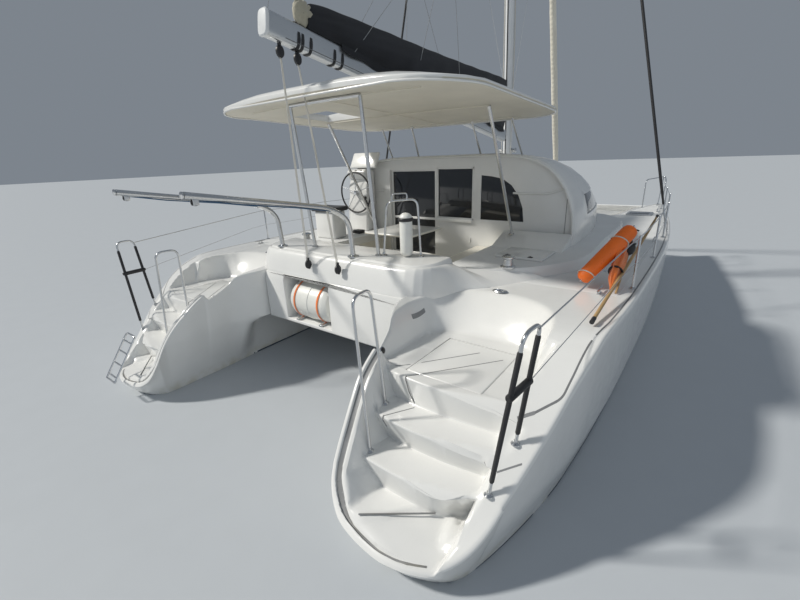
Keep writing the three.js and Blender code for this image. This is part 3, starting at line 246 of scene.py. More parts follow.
ROPE_BLUE = finish("rope_blue", (0.03, 0.10, 0.20), 0.8, vary=0.2, sheen=0.3, pattern=LAY)
ROPE_GREY = finish("rope_grey", (0.28, 0.29, 0.30), 0.8, vary=0.2, sheen=0.3, pattern=LAY)
ORANGE = finish("float_orange", (0.86, 0.16, 0.012), 0.5, vary=0.12, bump=0.2, bump_scale=30.0)
SLING = finish("sling_orange", (0.85, 0.20, 0.03), 0.8, vary=0.15, sheen=0.4,
               pattern=("weave", 240.0, 0.2, None))
FENDER = finish("fender_vinyl", (0.74, 0.74, 0.70), 0.35, vary=0.05, bump=0.1)
BLACK = finish("black_plastic", (0.02, 0.02, 0.022), 0.42, vary=0.15, bump=0.1)
VINYL = finish("seat_vinyl", (0.03, 0.031, 0.034), 0.5, vary=0.1, bump=0.25, bump_scale=180.0, sheen=0.1)
TIMBER = finish("pole_tan", (0.42, 0.27, 0.12), 0.6, vary=0.2, bump=0.2, stretch=(0.3, 1, 1))
ENGINE = finish("engine_enamel", (0.36, 0.40, 0.43), 0.4, metal=0.2, vary=0.12, bump=0.1)
# Beige for the hard top's underside and its ribs: painted reflection of the warm light from the deck below
UNDERSIDE_PAINTED_REFLECTION = finish("roof_underside_painted_reflection", (0.70, 0.66, 0.56), 0.6, vary=0.05, bump=0.12, bump_scale=120.0)
NETTING = net_cord()

# The frame's slot that each material belongs to; the others belong to gelcoat
SLOTS = {material.name: slot for slot, materials in (
    ("stainless", (STEEL, BLACK, BLACK_SLEEVE, ROPE_BLUE, ROPE_GREY)),
    ("spar_alloy", (ALLOY, SPAR_WHITE)),
    ("cover_fabric", (CANVAS, CLEW)),
    ("orange_foam", (ORANGE, SLING)),
    ("antifouling", (ANTIFOUL,)),
    ("bronze", (BRONZE,)),
    ("canister", (FENDER,)),
    ("engine_paint", (ENGINE,)),
    ("glazing", (GLASS,)),
    ("netting", (NETTING,)),
    ("sailcloth", (SAIL,)),
    ("seat_vinyl", (VINYL,)),
) for material in materials}


# Pieces

def new_object(name, mesh):
    obj = bpy.data.objects.new(name, mesh)
    bpy.context.scene.collection.objects.link(obj)
    return obj


def dress(obj, material, body, slot, replaces):
    """Gives a piece its material, rides it on its body and lets it replace frame nodes."""
    obj.data.materials.clear()
    obj.data.materials.append(material)
    if body:
        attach(obj, body)
    slot = slot or SLOTS.get(material.name, "gelcoat")
    if replaces:
        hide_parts(*replaces)
    return obj


def clean(mesh, gap, flat=False):
    """Merges points closer than a gap, joins flat facets if asked, and turns all faces outwards."""
    bm = bmesh.new()
    bm.from_mesh(mesh)
    bmesh.ops.remove_doubles(bm, verts=bm.verts, dist=gap)
    if flat:
        bmesh.ops.dissolve_limit(bm, angle_limit=math.radians(1), verts=bm.verts, edges=bm.edges)
    else:
        bmesh.ops.dissolve_degenerate(bm, edges=bm.edges, dist=1e-6)
    bmesh.ops.recalc_face_normals(bm, faces=bm.faces)
    bm.to_mesh(mesh)
    bm.free()


def piece(name, shape, material, body="root", slot=None, smooth=40, replaces=()):
    """A mesh piece from points and faces in stern coordinates, or from a list of such shapes."""
    verts, faces = joined(*shape) if isinstance(shape, list) else shape
    mesh = bpy.data.meshes.new(name)
    verts = np.asarray(verts, float) - (MID, 0, 0)
    mesh.from_pydata(verts.tolist(), [], [tuple(int(k) for k in f) for f in faces])
    obj = new_object(name, mesh)
    clean(mesh, 1e-4)
    shade(obj, smooth)
    return dress(obj, material, body, slot, replaces)


def shade(obj, angle):
    mesh = obj.data
    mesh.polygons.foreach_set("use_smooth", [True] * len(mesh.polygons))
    mesh.set_sharp_from_angle(angle=math.radians(angle))


def apply(obj, kind, **settings):
    modifier = obj.modifiers.new(kind.lower(), kind)
    for key, value in settings.items():
        setattr(modifier, key, value)
    graph = bpy.context.evaluated_depsgraph_get()
    made = bpy.data.meshes.new_from_object(obj.evaluated_get(graph))
    obj.modifiers.clear()
    old = obj.data
    made.name = old.name
    obj.data = made
    bpy.data.meshes.remove(old)


def refine(node, material, body, bevel, angle=28):
    """A copy of a frame node with its flat facets joined and its edges rounded, which replaces it."""
    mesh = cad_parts[node].data.copy()
    obj = new_object(node + "_shape", mesh)
    clean(mesh, 1e-5, flat=True)
    apply(obj, "BEVEL", width=bevel, segments=3, limit_method="ANGLE", angle_limit=math.radians(angle))
    shade(obj, 35)
    return dress(obj, material, body, None, (node,))


def sheet_faces(nu, nv, loop_v=False, start=0):
    a, b = np.meshgrid(np.arange(nu - 1), np.arange(nv if loop_v else nv - 1), indexing="ij")
    c, d = a + 1, (b + 1) % nv
    quads = np.stack([a * nv + b, c * nv + b, c * nv + d, a * nv + d], -1).reshape(-1, 4)
    return (quads + start).tolist()


def closed(rings, caps=True):
    """Points and faces of a form from its rings, closed by a face at each end."""
    grid = np.asarray(rings, float)
    n, m = grid.shape[:2]
    ends = [list(range(m)), list(range((n - 1) * m, n * m))] if caps else []
    return grid.reshape(-1, 3), sheet_faces(n, m, loop_v=True) + ends


def plate(top, thick):
    """Points and faces of a thin plate that hangs under an open grid of points."""
    rings = np.concatenate([top, top[:, ::-1] - (0, 0, thick)], 1)
    verts, faces = closed(rings, caps=False)
    n, m = rings.shape[:2]
    for k in (0, (n - 1) * m):
        faces += [[k + i, k + i + 1, k + m - 2 - i, k + m - 1 - i] for i in range(m // 2 - 1)]
    return verts, faces


def grids(*arrays):
    """Points and faces of several open grids of points."""
    verts, faces = [], []
    for grid in arrays:
        faces += sheet_faces(*grid.shape[:2], start=sum(len(v) for v in verts))
        verts.append(grid.reshape(-1, 3))
    return np.concatenate(verts), faces


def rounded(points, radius, steps=5):
    """A path with its corners rounded."""
    p = [Vector(q) for q in points]
    out = [p[0]]
    for a, b, c in zip(p, p[1:], p[2:]):
        back, on = a - b, c - b
        reach = min(radius, back.length * 0.48, on.length * 0.48)
        start, end = b + back.normalized() * reach, b + on.normalized() * reach
        for k in range(steps + 1):
            t = k / steps
            out.append(start * (1 - t) ** 2 + b * 2 * t * (1 - t) + end * t * t)
    return out + [p[-1]]


def sweep(points, radius, sides=12, flat=1.0, caps=True):
    """Points and faces of a tube along a path; radius may be a list, and flat squeezes it upright."""
    p = [Vector(q) for q in points]
    radii = radius if isinstance(radius, list) else [radius] * len(p)
    tangent = [(p[min(i + 1, len(p) - 1)] - p[max(i - 1, 0)]).normalized() for i in range(len(p))]
    first = Vector((0, 0, 1)) if abs(tangent[0].z) < 0.9 else Vector((0, 1, 0))
    side = tangent[0].cross(first).normalized()
    rings = []
    for at, way, r in zip(p, tangent, radii):
        side = (side - way * side.dot(way)).normalized()
        up = side.cross(way)
        turns = [2 * math.pi * k / sides for k in range(sides)]
        rings.append([at + (side * math.cos(a) + up * math.sin(a) * flat) * r for a in turns])
    return closed(rings, caps)


def turned(profile, sides=24, at=(0, 0, 0), axis="Z"):
    """Points and faces turned about an axis from (radius, height) pairs."""
    rings = []
    for r, h in profile:
        ring = []
        for k in range(sides):
            a = 2 * math.pi * k / sides
            v = (max(r, 1e-5) * math.cos(a), max(r, 1e-5) * math.sin(a), h)
            v = {"Z": v, "X": (v[2], v[0], v[1]), "Y": (v[1], v[2], v[0])}[axis]
            ring.append([c + o for c, o in zip(v, at)])
        rings.append(ring)
    return closed(rings)


def slab(x, y, z, edge=0.01):
    """Points and faces of a box whose upright corners and edges are all rounded by a fixed step."""
    ring = []
    for cx, cy, start in ((x[1], y[1], 0), (x[0], y[1], 90), (x[0], y[0], 180), (x[1], y[0], 270)):
        sx, sy = (1 if cx == x[1] else -1), (1 if cy == y[1] else -1)
        for k in range(5):
            a = math.radians(start + 22.5 * k)
            ring.append((cx - sx * edge, cy - sy * edge, math.cos(a), math.sin(a)))
    layers = []
    for k in range(4):
        a = math.radians(90 * k / 3)
        layers.append((edge * math.sin(a), z[0] + edge * (1 - math.cos(a))))
    layers += [(grow, z[0] + z[1] - height) for grow, height in reversed(layers)]
    return closed([[(cx + c * grow, cy + s * grow, height) for cx, cy, c, s in ring]
                   for grow, height in layers])


def joined(*parts):
    verts, faces = [], []
    for v, f in parts:
        faces += [[k + len(verts) for k in face] for face in f]
        verts += [tuple(q) for q in v]
    return verts, faces


def turn(part, at=(0, 0, 0), rot=(0, 0, 0), scale=(1, 1, 1)):
    matrix = Matrix.Translation(at) @ Matrix.Rotation(rot[2], 4, "Z") @ Matrix.Rotation(rot[1], 4, "Y")
    matrix = matrix @ Matrix.Rotation(rot[0], 4, "X") @ Matrix.Diagonal((*scale, 1))
    return [tuple(matrix @ Vector(v)) for v in part[0]], part[1]


def lathe(profile, sides, at, rot=(0, 0, 0), scale=(1, 1, 1), axis="Z"):
    """A turned shape, moved to its place."""
    return turn(turned(profile, sides, axis=axis), at, rot, scale)


# Camera at the photograph's angle, floor at the waterline, and soft light

IMAGE_WIDTH = 800
FOCAL_PX = 403.0
SENSOR = 36.0
EYE = Vector((-1.434 - MID, -3.643, 2.873))
YAW, PITCH, ROLL = (math.radians(a) for a in (37.31, 19.33, -2.17))


def build_camera():
    heading = Vector((math.cos(YAW), math.sin(YAW), 0))
    right = Vector((math.sin(YAW), -math.cos(YAW), 0))
    forward = heading * math.cos(PITCH) - Vector((0, 0, math.sin(PITCH)))
    up = heading * math.sin(PITCH) + Vector((0, 0, math.cos(PITCH)))
    across = right * math.cos(ROLL) + up * math.sin(ROLL)
    upright = up * math.cos(ROLL) - right * math.sin(ROLL)
    data = bpy.data.cameras.new("camera")
    data.sensor_width = SENSOR
    data.lens = FOCAL_PX / IMAGE_WIDTH * SENSOR
    data.clip_end = 500
    camera = new_object("camera", data)
    rows = [across, upright, -forward]
    camera.matrix_world = Matrix.Translation(EYE) @ Matrix(rows).transposed().to_4x4()
    bpy.context.scene.camera = camera


def build_stage():
    mesh = bpy.data.meshes.new("floor")
    far = 150.0
    mesh.from_pydata([(-far, -far, 0), (far, -far, 0), (far, far, 0), (-far, far, 0)], [], [(0, 1, 2, 3)])
    floor = new_object("floor", mesh)
    mesh.materials.append(finish("floor_pale", (0.50, 0.53, 0.56), 0.6, vary=0.01, bump=0.0))
    world = bpy.data.worlds.new("studio")
    bpy.context.scene.world = world
    world.use_nodes = True
    sky = {"Color": (0.62, 0.70, 0.80, 1), "Strength": 0.33}
    feed(world.node_tree, world.node_tree.nodes["Background"], sky)
    for name, toward, strength, size, tint in (
        ("key", (0.46, -0.60, -0.655), 3.15, 5, (1.0, 0.965, 0.90)),
        ("fill", (0.55, 0.75, -0.35), 0.35, 60, (0.85, 0.92, 1.0)),
    ):
        light = bpy.data.lights.new(name, "SUN")
        light.energy = strength
        light.angle = math.radians(size)
        light.color = tint
        new_object(name, light).rotation_euler = Vector(toward).to_track_quat("-Z", "Y").to_euler()
    bpy.context.scene.view_settings.view_transform = "Standard"
    bpy.context.scene.view_settings.look = "None"


# Hulls: sections along the boat, with the keel's depth, the middle and half width at the
# waterline, the inner side at tunnel height, and the inner and outer deck edges

SECTIONS = np.array([
    # x, keel, centre, half, flare, inner, outer
    (0.00, -0.02, 2.17, 0.12, 1.86, 1.84, 2.40),
    (0.12, -0.06, 2.18, 0.32, 1.63, 1.60, 2.60),
    (0.40, -0.14, 2.22, 0.45, 1.565, 1.51, 2.785),
    (0.80, -0.23, 2.28, 0.52, 1.545, 1.445, 2.955),
    (1.30, -0.33, 2.34, 0.57, 1.50, 1.38, 3.08),
    (1.79, -0.41, 2.39, 0.59, 1.25, 1.20, 3.16),
    (3.20, -0.54, 2.44, 0.62, 1.20, 1.20, 3.24),
    (5.00, -0.59, 2.46, 0.63, 1.20, 1.20, 3.262),
    (6.60, -0.56, 2.48, 0.60, 1.20, 1.20, 3.225),
    (8.00, -0.51, 2.50, 0.51, 1.20, 1.20, 3.13),
    (8.45, -0.49, 2.51, 0.46, 1.50, 1.42, 3.09),
    (8.90, -0.47, 2.52, 0.42, 1.95, 1.88, 3.04),
    (10.0, -0.41, 2.56, 0.28, 2.18, 2.12, 2.89),
    (11.0, -0.32, 2.60, 0.12, 2.43, 2.40, 2.75),
    (11.4, -0.18, 2.61, 0.04, 2.55, 2.54, 2.66),
    (11.55, 0.06, 2.612, 0.014, 2.59, 2.588, 2.63),
])
TRACK = {name: smooth_curve(SECTIONS[:, 0], SECTIONS[:, k + 1])
         for k, name in enumerate(("keel", "centre", "half", "flare", "inner", "outer"))}
ROOF = 0.75
RISE_OUT = smooth_curve((-0.3, 0, 0.3, 0.68, 0.9, 1.1), (-0.2, 0, 0.62, 0.93, 1, 1))
OPEN_WALL = smooth_curve((-0.3, 0, 0.18, 0.42, 0.7, 1), (1.2, 1, 0.86, 0.6, 0.3, 0))
TUNNEL_WALL = smooth_curve((-0.3, 0, 0.33, 0.66, 0.93, 1), (1.01, 1, 0.97, 0.85, 0.5, 0))


def side_out(x, z):
    foot = TRACK["centre"](x) + TRACK["half"](x)
    return foot + (TRACK["outer"](x) - foot) * RISE_OUT(z / DECK)


def side_in(x, z):
    foot = TRACK["centre"](x) - TRACK["half"](x)
    flare, inner = TRACK["flare"](x), TRACK["inner"](x)
    tunnel = ease(1.5, 1.85, x) * (1 - ease(7.9, 8.5, x))
    wall = OPEN_WALL(z / ROOF) * (1 - tunnel) + TUNNEL_WALL(z / ROOF) * tunnel
    low = flare + (foot - flare) * wall
    high = flare + (inner - flare) * (z - ROOF) / (DECK - ROOF)
    return np.where(z < ROOF, low, high)


# Rim of the stern from the side: x of its inner and outer edges at each height
RIM = np.array([
    (-0.26, -0.10, 0.16), (0.00, 0.17, 0.22), (0.07, 0.43, 0.31), (0.16, 0.69, 0.50), (0.30, 0.96, 0.78),
    (0.56, 1.24, 1.06), (0.90, 1.50, 1.28), (1.30, 1.80, 1.42), (1.74, 2.15, 1.485), (2.6, 2.9, 1.5),
])
RIM_HEIGHTS = np.linspace(RIM[0, 2], RIM[-1, 2], 120)
RIM_X = [smooth_curve(RIM[:, 2], RIM[:, k])(RIM_HEIGHTS) for k in (0, 1)]
SLICES = np.linspace(0, 1, 33)
RIM_GRID_X = np.linspace(-0.3, 3.0, 331)
RIM_GRID = np.array([np.interp(RIM_GRID_X, RIM_X[0] * (1 - s) + RIM_X[1] * s, RIM_HEIGHTS) for s in SLICES])


def rim_height(x, y):
    """Height of the uncut rim or deck."""
    s = np.clip((y - 1.0) / 2.4, 0, 1) * (len(SLICES) - 1)
    u = np.clip((x - RIM_GRID_X[0]) / (RIM_GRID_X[1] - RIM_GRID_X[0]), 0, len(RIM_GRID_X) - 1.001)
    i, j = np.minimum(s.astype(int), len(SLICES) - 2), u.astype(int)
    a, b = s - i, u - j
    low = RIM_GRID[i, j] * (1 - b) + RIM_GRID[i, j + 1] * b
    high = RIM_GRID[i + 1, j] * (1 - b) + RIM_GRID[i + 1, j + 1] * b
    sheer = DECK + 0.04 * ease(9.5, 11.2, x)
    return soft_min(low * (1 - a) + high * a, sheer + 0 * x, 0.03)


# Stairs: heights of the treads, the front edge of each and how far that edge curves
TREADS = (0.33, 0.593, 0.857, 1.12)
NOSES = ((0.465, 0.035), (0.685, 0.045), (0.955, 0.035))
NOSE_MIDDLE = 2.10
UNDERCUT = (0.07, 0.11, 0.05)
POCKET_DEEP = 0.10
STEP_X = np.array([-0.012, -0.005, 0.0, 0.002, 0.003, 0.004, 0.006, 0.007, 0.010, 0.015, 0.024])
STEP_Z = np.array([0.0, 0.02, 0.07, 0.13, 0.20, 0.30, 0.90, 0.94, 0.972, 0.992, 1.0])
CURVE_AT = (0.3, 0.465, 0.685, 0.955, 1.2)
CURVE_BY = (0.03, 0.035, 0.045, 0.035, 0.0)
OUTER_END = 0.09
WELL = (1.75, 2.66)
BAND = 0.135
INNER_EDGE = ((0.19, 0.222, 0.272, 0.33, 0.47, 0.59, 0.71, 0.80, 1.0, 1.3, 3.0),
              (1.665, 1.62, 1.578, 1.553, 1.542, 1.514, 1.478, 1.46, 1.42, 1.32, 1.2))
DRAIN = ((0.16, 1.85), (0.56, 2.41))


def off_middle(y):
    """How far off the middle of the stairs a point is, held a little past their side walls."""
    return np.clip((y - NOSE_MIDDLE) / 0.5, -1.05, 1.05)


def row_x(base, y):
    """A row of the stairs bends aft in the middle, as the front edges of the treads do."""
    across = off_middle(y)
    near_nose = np.interp(base, (0.33, NOSES[0][0] - 0.015, NOSES[0][0] + 0.03, 0.66), (0, 1, 1, 0))
    return base + np.interp(base, CURVE_AT, CURVE_BY) * across**2 + runs_ahead(y) * near_nose


def runs_ahead(y):
    """How far the lowest front edge runs forward at its outer end."""
    return OUTER_END * ease(2.42, 2.70, y)


def superellipse(x, y, cx, cy, a, b, n):
    return (np.abs(np.maximum(x - cx, 0) / a) ** n + np.abs((y - cy) / b) ** n) ** (1 / n)


def past_drain(x, y):
    """Distance aft and outboard of the drain line across the lowest tread."""
    (x0, y0), (x1, y1) = DRAIN
    run = math.hypot(x1 - x0, y1 - y0)
    return ((y - y0) * (x1 - x0) - (x - x0) * (y1 - y0)) / run


def stairs_height(x, y):
    """Height of the surface cut into the stern: treads, side walls, landing and its niche."""
    away = past_drain(x, y)
    tread = TREADS[0] - 0.022 * ease(-0.012, 0.012, away) - 0.26 * np.maximum(away, 0)
    tread = soft_max(tread, 0.205 + 0 * x, 0.05)
    for k, (base, bend) in enumerate(NOSES):
        across = off_middle(y)
        ahead = runs_ahead(y) if k == 0 else 0
        rise = np.interp(x - base - bend * across**2 - ahead, STEP_X, STEP_Z)
        tread = tread + (TREADS[k + 1] - tread) * rise
    hollow = np.hypot((x - 0.47) / 0.11, (y - 2.57) / 0.13)
    tread = tread - (tread - 0.30) * (1 - ease(0.45, 1.0, hollow)) * (x < NOSES[0][0] + 0.02)
    # The inner wall is a slope that steepens under the band inside the gutter
    wall_in = (2.00 + 0.28 * x - y) / 0.77
    band = np.interp(x, *INNER_EDGE) + BAND
    wall_in = soft_max(wall_in, rim_height(x, y) + (band - y) / 0.30, 0.03)
    foot_out = np.interp(x, (0.0, 0.17, 0.38, 0.55, 0.8, 1.1), (2.48, 2.60, 2.67, 2.69, 2.70, 2.66))
    level_out = np.interp(x, (0.0, 0.17, 0.38, 0.55, 0.8, 1.1), (0.22, 0.25, 0.40, 0.56, 0.76, 0.95))
    wall_out = level_out + (y - foot_out) / 0.42
    well = soft_max(soft_max(tread, wall_in, 0.018), wall_out, 0.035)
    front = TREADS[3] + (x - 1.55) * 2.2
    well = soft_max(well, front, 0.05)
    foot = superellipse(x, y, 1.50, 2.10, 0.55, 0.62, 3.5)
    top = superellipse(x, y, 1.57, 2.05, 0.97, 0.735, 2.4)
    share = (foot - 1) / np.maximum((foot - 1) + (1 - top), 1e-3)
    share = np.where(top >= 0.999, 1.6, np.minimum(share, 1.6))
    niche = soft_max(TREADS[3] + 0.40 * share, TREADS[3] + 0 * x, 0.05)
    niche = soft_max(niche, TREADS[3] + (1.10 - x) * 2.0, 0.04)
    return soft_min(well, niche, 0.02)


EDGE = 0.028
LIP, GUTTER, GUTTER_DEEP = 0.040, 0.092, 0.030
FIRST_ROW = 0.33
AFT_EDGE = np.array([
    # The rim's plan round the stern, from its inner to its outer side
    (0.33, 1.553), (0.275, 1.575), (0.230, 1.612), (0.180, 1.682), (0.140, 1.765), (0.112, 1.880),
    (0.092, 2.020), (0.082, 2.183), (0.102, 2.342), (0.165, 2.520), (0.233, 2.623), (0.312, 2.700),
    (0.420, 2.776), (0.538, 2.836), (0.657, 2.880),
])
INNER_LINE = smooth_curve((0.27, 0.33, 0.46, 0.60, 0.79, 1.2), (1.558, 1.553, 1.541, 1.512, 1.462, 1.40))


def aft_points(count):
    """Points spread evenly along the rim's plan round the stern."""
    along = np.concatenate([[0], np.cumsum(np.hypot(*np.diff(AFT_EDGE, axis=0).T))])
    at = np.linspace(0, along[-1], count)
    return np.stack([smooth_curve(along, AFT_EDGE[:, k])(at) for k in (0, 1)], 1)


def hull_rows():
    """Each row's place along the boat, at the middle of the stairs."""
    rows = [np.linspace(FIRST_ROW, NOSES[0][0] + STEP_X[0], 9)[:-1]]
    for k, (base, _) in enumerate(NOSES):
        end = NOSES[k + 1][0] + STEP_X[0] if k + 1 < len(NOSES) else 1.10
        rows += [base + STEP_X, np.linspace(base + STEP_X[-1], end, 9)[1:-1]]
    rows += [np.arange(1.10, 2.62, 0.016), np.arange(2.62, 8.2, 0.16), np.arange(8.2, 9.0, 0.07),
             np.arange(9.0, 11.3, 0.1), np.array((11.3, 11.38, 11.44, 11.48, 11.51, 11.53, LENGTH))]
    return np.concatenate(rows)


COLUMNS = (5, 3, 5, 5, 10, 34, 9, 8, 4, 5)
AFT_ROWS = (0, 0.03, 0.06, 0.10, 0.135, 0.165, 0.195, 0.235, 0.28, 0.315, 0.345, 0.40, 0.48, 0.58, 0.68,
            0.78, 0.9)


def edge_places(base):
    """Where each row meets the inner and the outer edge of the hull, along the boat."""
    return base + 0 * base, base + (0.657 - FIRST_ROW) * np.exp(-np.maximum(base - FIRST_ROW, 0) / 0.28)


def edge_lines(base):
    x_in, x_out = edge_places(base)
    y_in = side_in(x_in, rim_height(x_in, np.full_like(x_in, 1.6)))
    y_out = side_out(x_out, rim_height(x_out, np.full_like(x_out, 2.9)))
    fade = np.exp(-np.maximum(base - FIRST_ROW, 0) / 0.15)
    y_in = y_in + (INNER_LINE(base) - y_in) * (1 - ease(0.70, 1.15, base))
    y_out = y_out + (AFT_EDGE[-1, 1] - y_out[0]) * fade
    return x_in, x_out, y_in, y_out


def rim_line():
    """The rim's plan from the niche on the inner side, round the stern, to the outer side."""
    x_in, x_out, y_in, y_out = edge_lines(np.linspace(FIRST_ROW, 1.6, 40))
    inner, outer = np.stack([x_in, y_in], 1)[::-1], np.stack([x_out, y_out], 1)
    return np.concatenate([inner, aft_points(80)[1:-1], outer])


def from_rim(x, y, line):
    """Distance from the rim's edge, and how far along the rim the nearest point lies."""
    a, b = line[:-1], line[1:]
    lengths = np.hypot(*(b - a).T)
    start = np.concatenate([[0], np.cumsum(lengths)[:-1]])
    p = np.stack([x, y], -1)[..., None, :]
    t = np.clip(((p - a) * (b - a)).sum(-1) / lengths**2, 0, 1)
    away = np.hypot(*np.moveaxis(p - a - (b - a) * t[..., None], -1, 0))
    best = away.argmin(-1)

    def pick(values):
        return np.take_along_axis(values, best[..., None], -1)[..., 0]

    return pick(away), start[best] + pick(t * lengths)


GUTTER_END = 2.45
NARROWS = (1.48, 1.78)


def gutter_width(along):
    """Distance of the gutter's inner side from the rim's edge."""
    return GUTTER - 0.030 * ease(*NARROWS, along)


def undercut(x, y, z, away):
    """How far each point of the stairs moves forward, to draw the foot of each riser in."""
    across = off_middle(y)
    inside = ease(GUTTER + 0.03, GUTTER + 0.10, away)
    shift = 0 * x
    for k, (base, bend) in enumerate(NOSES):
        local = x - base - bend * across**2 - (runs_ahead(y) if k == 0 else 0)
        height = np.clip((TREADS[k + 1] - z) / (TREADS[k + 1] - TREADS[k]), 0, 1)
        deep = UNDERCUT[k] + (POCKET_DEEP * ease(2.34, 2.52, y) if k == 0 else 0)
        shift += deep * ease(-0.17, STEP_X[0], local) * height * (local < STEP_X[-1])
    return shift * inside


def gutter_share(away, along, x):
    """How deep the gutter is, from 0 to 1."""
    far = gutter_width(along)
    across = ease(LIP - 0.006, LIP + 0.006, away) * (1 - ease(far - 0.006, far + 0.006, away))
    return across * (1 - ease(1.0, 1.2, x)) * (1 - ease(GUTTER_END - 0.1, GUTTER_END, along))


def row_stops(base, edge_in, edge_out):
    """Where each row's columns change across the hull: rim, gutter, walls and treads."""
    width = edge_out - edge_in
    level = np.interp(base, (0.4, 0.5, 0.7, 0.8, 0.95, 1.05), (0.33, 0.593, 0.593, 0.857, 0.857, 1.12))
    niche = ease(0.95, 1.2, base)
    wall = 2.0 + 0.28 * base
    foot_in = (wall - 0.77 * level) * (1 - niche) + 1.50 * niche
    top_in = (edge_in + BAND + 0.01) * (1 - niche) + 1.34 * niche
    foot_out = 2.69 * (1 - niche) + 2.66 * niche
    top_out = np.minimum(edge_out - 0.10, 2.76) * (1 - niche) + 2.80 * niche
    thin = np.minimum(1.0, width / 1.2)
    stops = np.stack([
        edge_in, edge_in + EDGE * thin, edge_in + LIP * thin, edge_in + GUTTER * thin, top_in, foot_in,
        foot_out, top_out, edge_out - 0.09 * thin, edge_out - EDGE * thin, edge_out], 1)
    even = edge_in[:, None] + width[:, None] * np.array((0, .03, .05, .09, .17, .27, .72, .84, .91, .97, 1))
    beyond = ease(8.0, 9.0, base)[:, None]
    stops = stops * (1 - beyond) + even * beyond
    for k in range(1, 11):
        stops[:, k] = np.maximum(stops[:, k], stops[:, k - 1] + 0.002 * np.minimum(1, width))
    over = stops[:, -1] - edge_out
    return edge_in[:, None] + (stops - edge_in[:, None]) * (width / (width + over))[:, None]


def hull_top():
    """Points of the top of the port hull, in rows across it from the stern to the bow."""
    base = hull_rows()
    x_in, x_out, edge_in, edge_out = edge_lines(base)
    y = spans(row_stops(base, edge_in, edge_out), COLUMNS)
    x = row_x(base[:, None] + 0 * y, y)
    bend_in, bend_out = row_x(base, edge_in) - base, row_x(base, edge_out) - base
    toward_in = np.clip((WELL[0] - y) / np.maximum(WELL[0] - edge_in, 1e-3)[:, None], 0, 1)
    toward_out = np.clip((y - WELL[1]) / np.maximum(edge_out - WELL[1], 1e-3)[:, None], 0, 1)
    x = x + (x_in - base - bend_in)[:, None] * toward_in
    x = x + (x_out - base - bend_out)[:, None] * toward_out**1.3
    # Rows aft of the first one close on the curved end of the rim
    end = aft_points(y.shape[1])
    extra = [(end[:, 0] * (1 - t) + x[0] * t, end[:, 1] * (1 - t) + y[0] * t) for t in AFT_ROWS]
    x, y = (np.vstack([[e[k] for e in extra], full]) for k, full in ((0, x), (1, y)))
    away = np.minimum(y - y[:, :1], y[:, -1:] - y)
    deep = np.zeros_like(x)
    near = np.arange(len(x)) < len(AFT_ROWS) + np.searchsorted(base, 1.5)
    away[near], along = from_rim(x[near], y[near], rim_line())
    deep[near] = gutter_share(away[near], along, x[near])
    rim = rim_height(x, y) - GUTTER_DEEP * deep
    z = soft_min(rim, stairs_height(x, y), 0.012 + 0.013 * ease(1.0, 1.3, x))
    inside = np.clip(away, 0, EDGE)
    z = z - (EDGE - np.sqrt(EDGE**2 - (EDGE - inside) ** 2))
    x[near] = x[near] + undercut(x[near], y[near], z[near], away[near])
    return np.stack([x, y, z], -1)


def hull_bottom(top):
    """Points of the outside, in the same rows, from the inner edge down round the keel to the outer edge."""
    m = top.shape[1]
    g = np.linspace(0, 1, m)[None, :]
    first, last = top[:, :1], top[:, -1:]
    x = first[..., 0] + (last[..., 0] - first[..., 0]) * g
    keel = TRACK["keel"](x)
    low = np.maximum(keel, 0)
    down_in, down_out = np.clip(g / 0.3, 0, 1), np.clip((1 - g) / 0.3, 0, 1)
    angle = math.pi * np.clip((g - 0.3) / 0.4, 0, 1)
    z_in = first[..., 2] + (low - first[..., 2]) * down_in
    z_out = last[..., 2] + (low - last[..., 2]) * down_out
    slip_in = first[..., 1] - side_in(first[..., 0], first[..., 2])
    slip_out = last[..., 1] - side_out(last[..., 0], last[..., 2])
    y_in = side_in(x, z_in) + slip_in * (1 - down_in)
    y_out = side_out(x, z_out) + slip_out * (1 - down_out)
    y_bilge = TRACK["centre"](x) - TRACK["half"](x) * np.cos(angle)
    z_bilge = low + np.minimum(keel, 0) * np.sin(angle)
    y = np.where(g < 0.3, y_in, np.where(g > 0.7, y_out, y_bilge))
    z = np.where(g < 0.3, z_in, np.where(g > 0.7, z_out, z_bilge))
    bottom = np.stack([x, y, z], -1)
    # The aft rows close under the curved end of the rim
    base, g = bottom[len(AFT_ROWS)].copy(), g[0][:, None]
    for k, t in enumerate(AFT_ROWS):
        share = np.array((t, t, math.sin(math.pi / 2 * t) ** 0.9))
        row = top[0] + (base - top[0]) * share
        row = row + (top[k, 0] - row[0]) * (1 - g) ** 8 + (top[k, -1] - row[-1]) * g**8
        bottom[k] = row
    return bottom


LID_BOX = ((1.084, 1.866), (1.754, 2.486), (1.0797, 1.3))
BAY_BOX = ((1.18, 1.83), (1.83, 2.41), (-0.02, 1.2))


def cut_box(obj, x, y, z):
    """Cuts a box out of a piece."""
    tool = new_object("tool", bpy.data.meshes.new("tool"))
    corners = [(a - MID, b, c) for a in x for b in y for c in z]
    faces = [(0, 1, 3, 2), (4, 6, 7, 5), (0, 4, 5, 1), (2, 3, 7, 6), (0, 2, 6, 4), (1, 5, 7, 3)]
    tool.data.from_pydata(corners, [], faces)
    apply(obj, "BOOLEAN", object=tool, operation="DIFFERENCE", solver="EXACT")
    bpy.data.objects.remove(tool, do_unlink=True)


def paint(obj, material, wanted):
    """Gives a material to the faces for which wanted(centre, normal) holds, centre from the stern."""
    obj.data.materials.append(material)
    index = len(obj.data.materials) - 1
    for face in obj.data.polygons:
        centre = face.center
        if wanted((centre.x + MID, centre.y, centre.z), face.normal):
            face.material_index = index


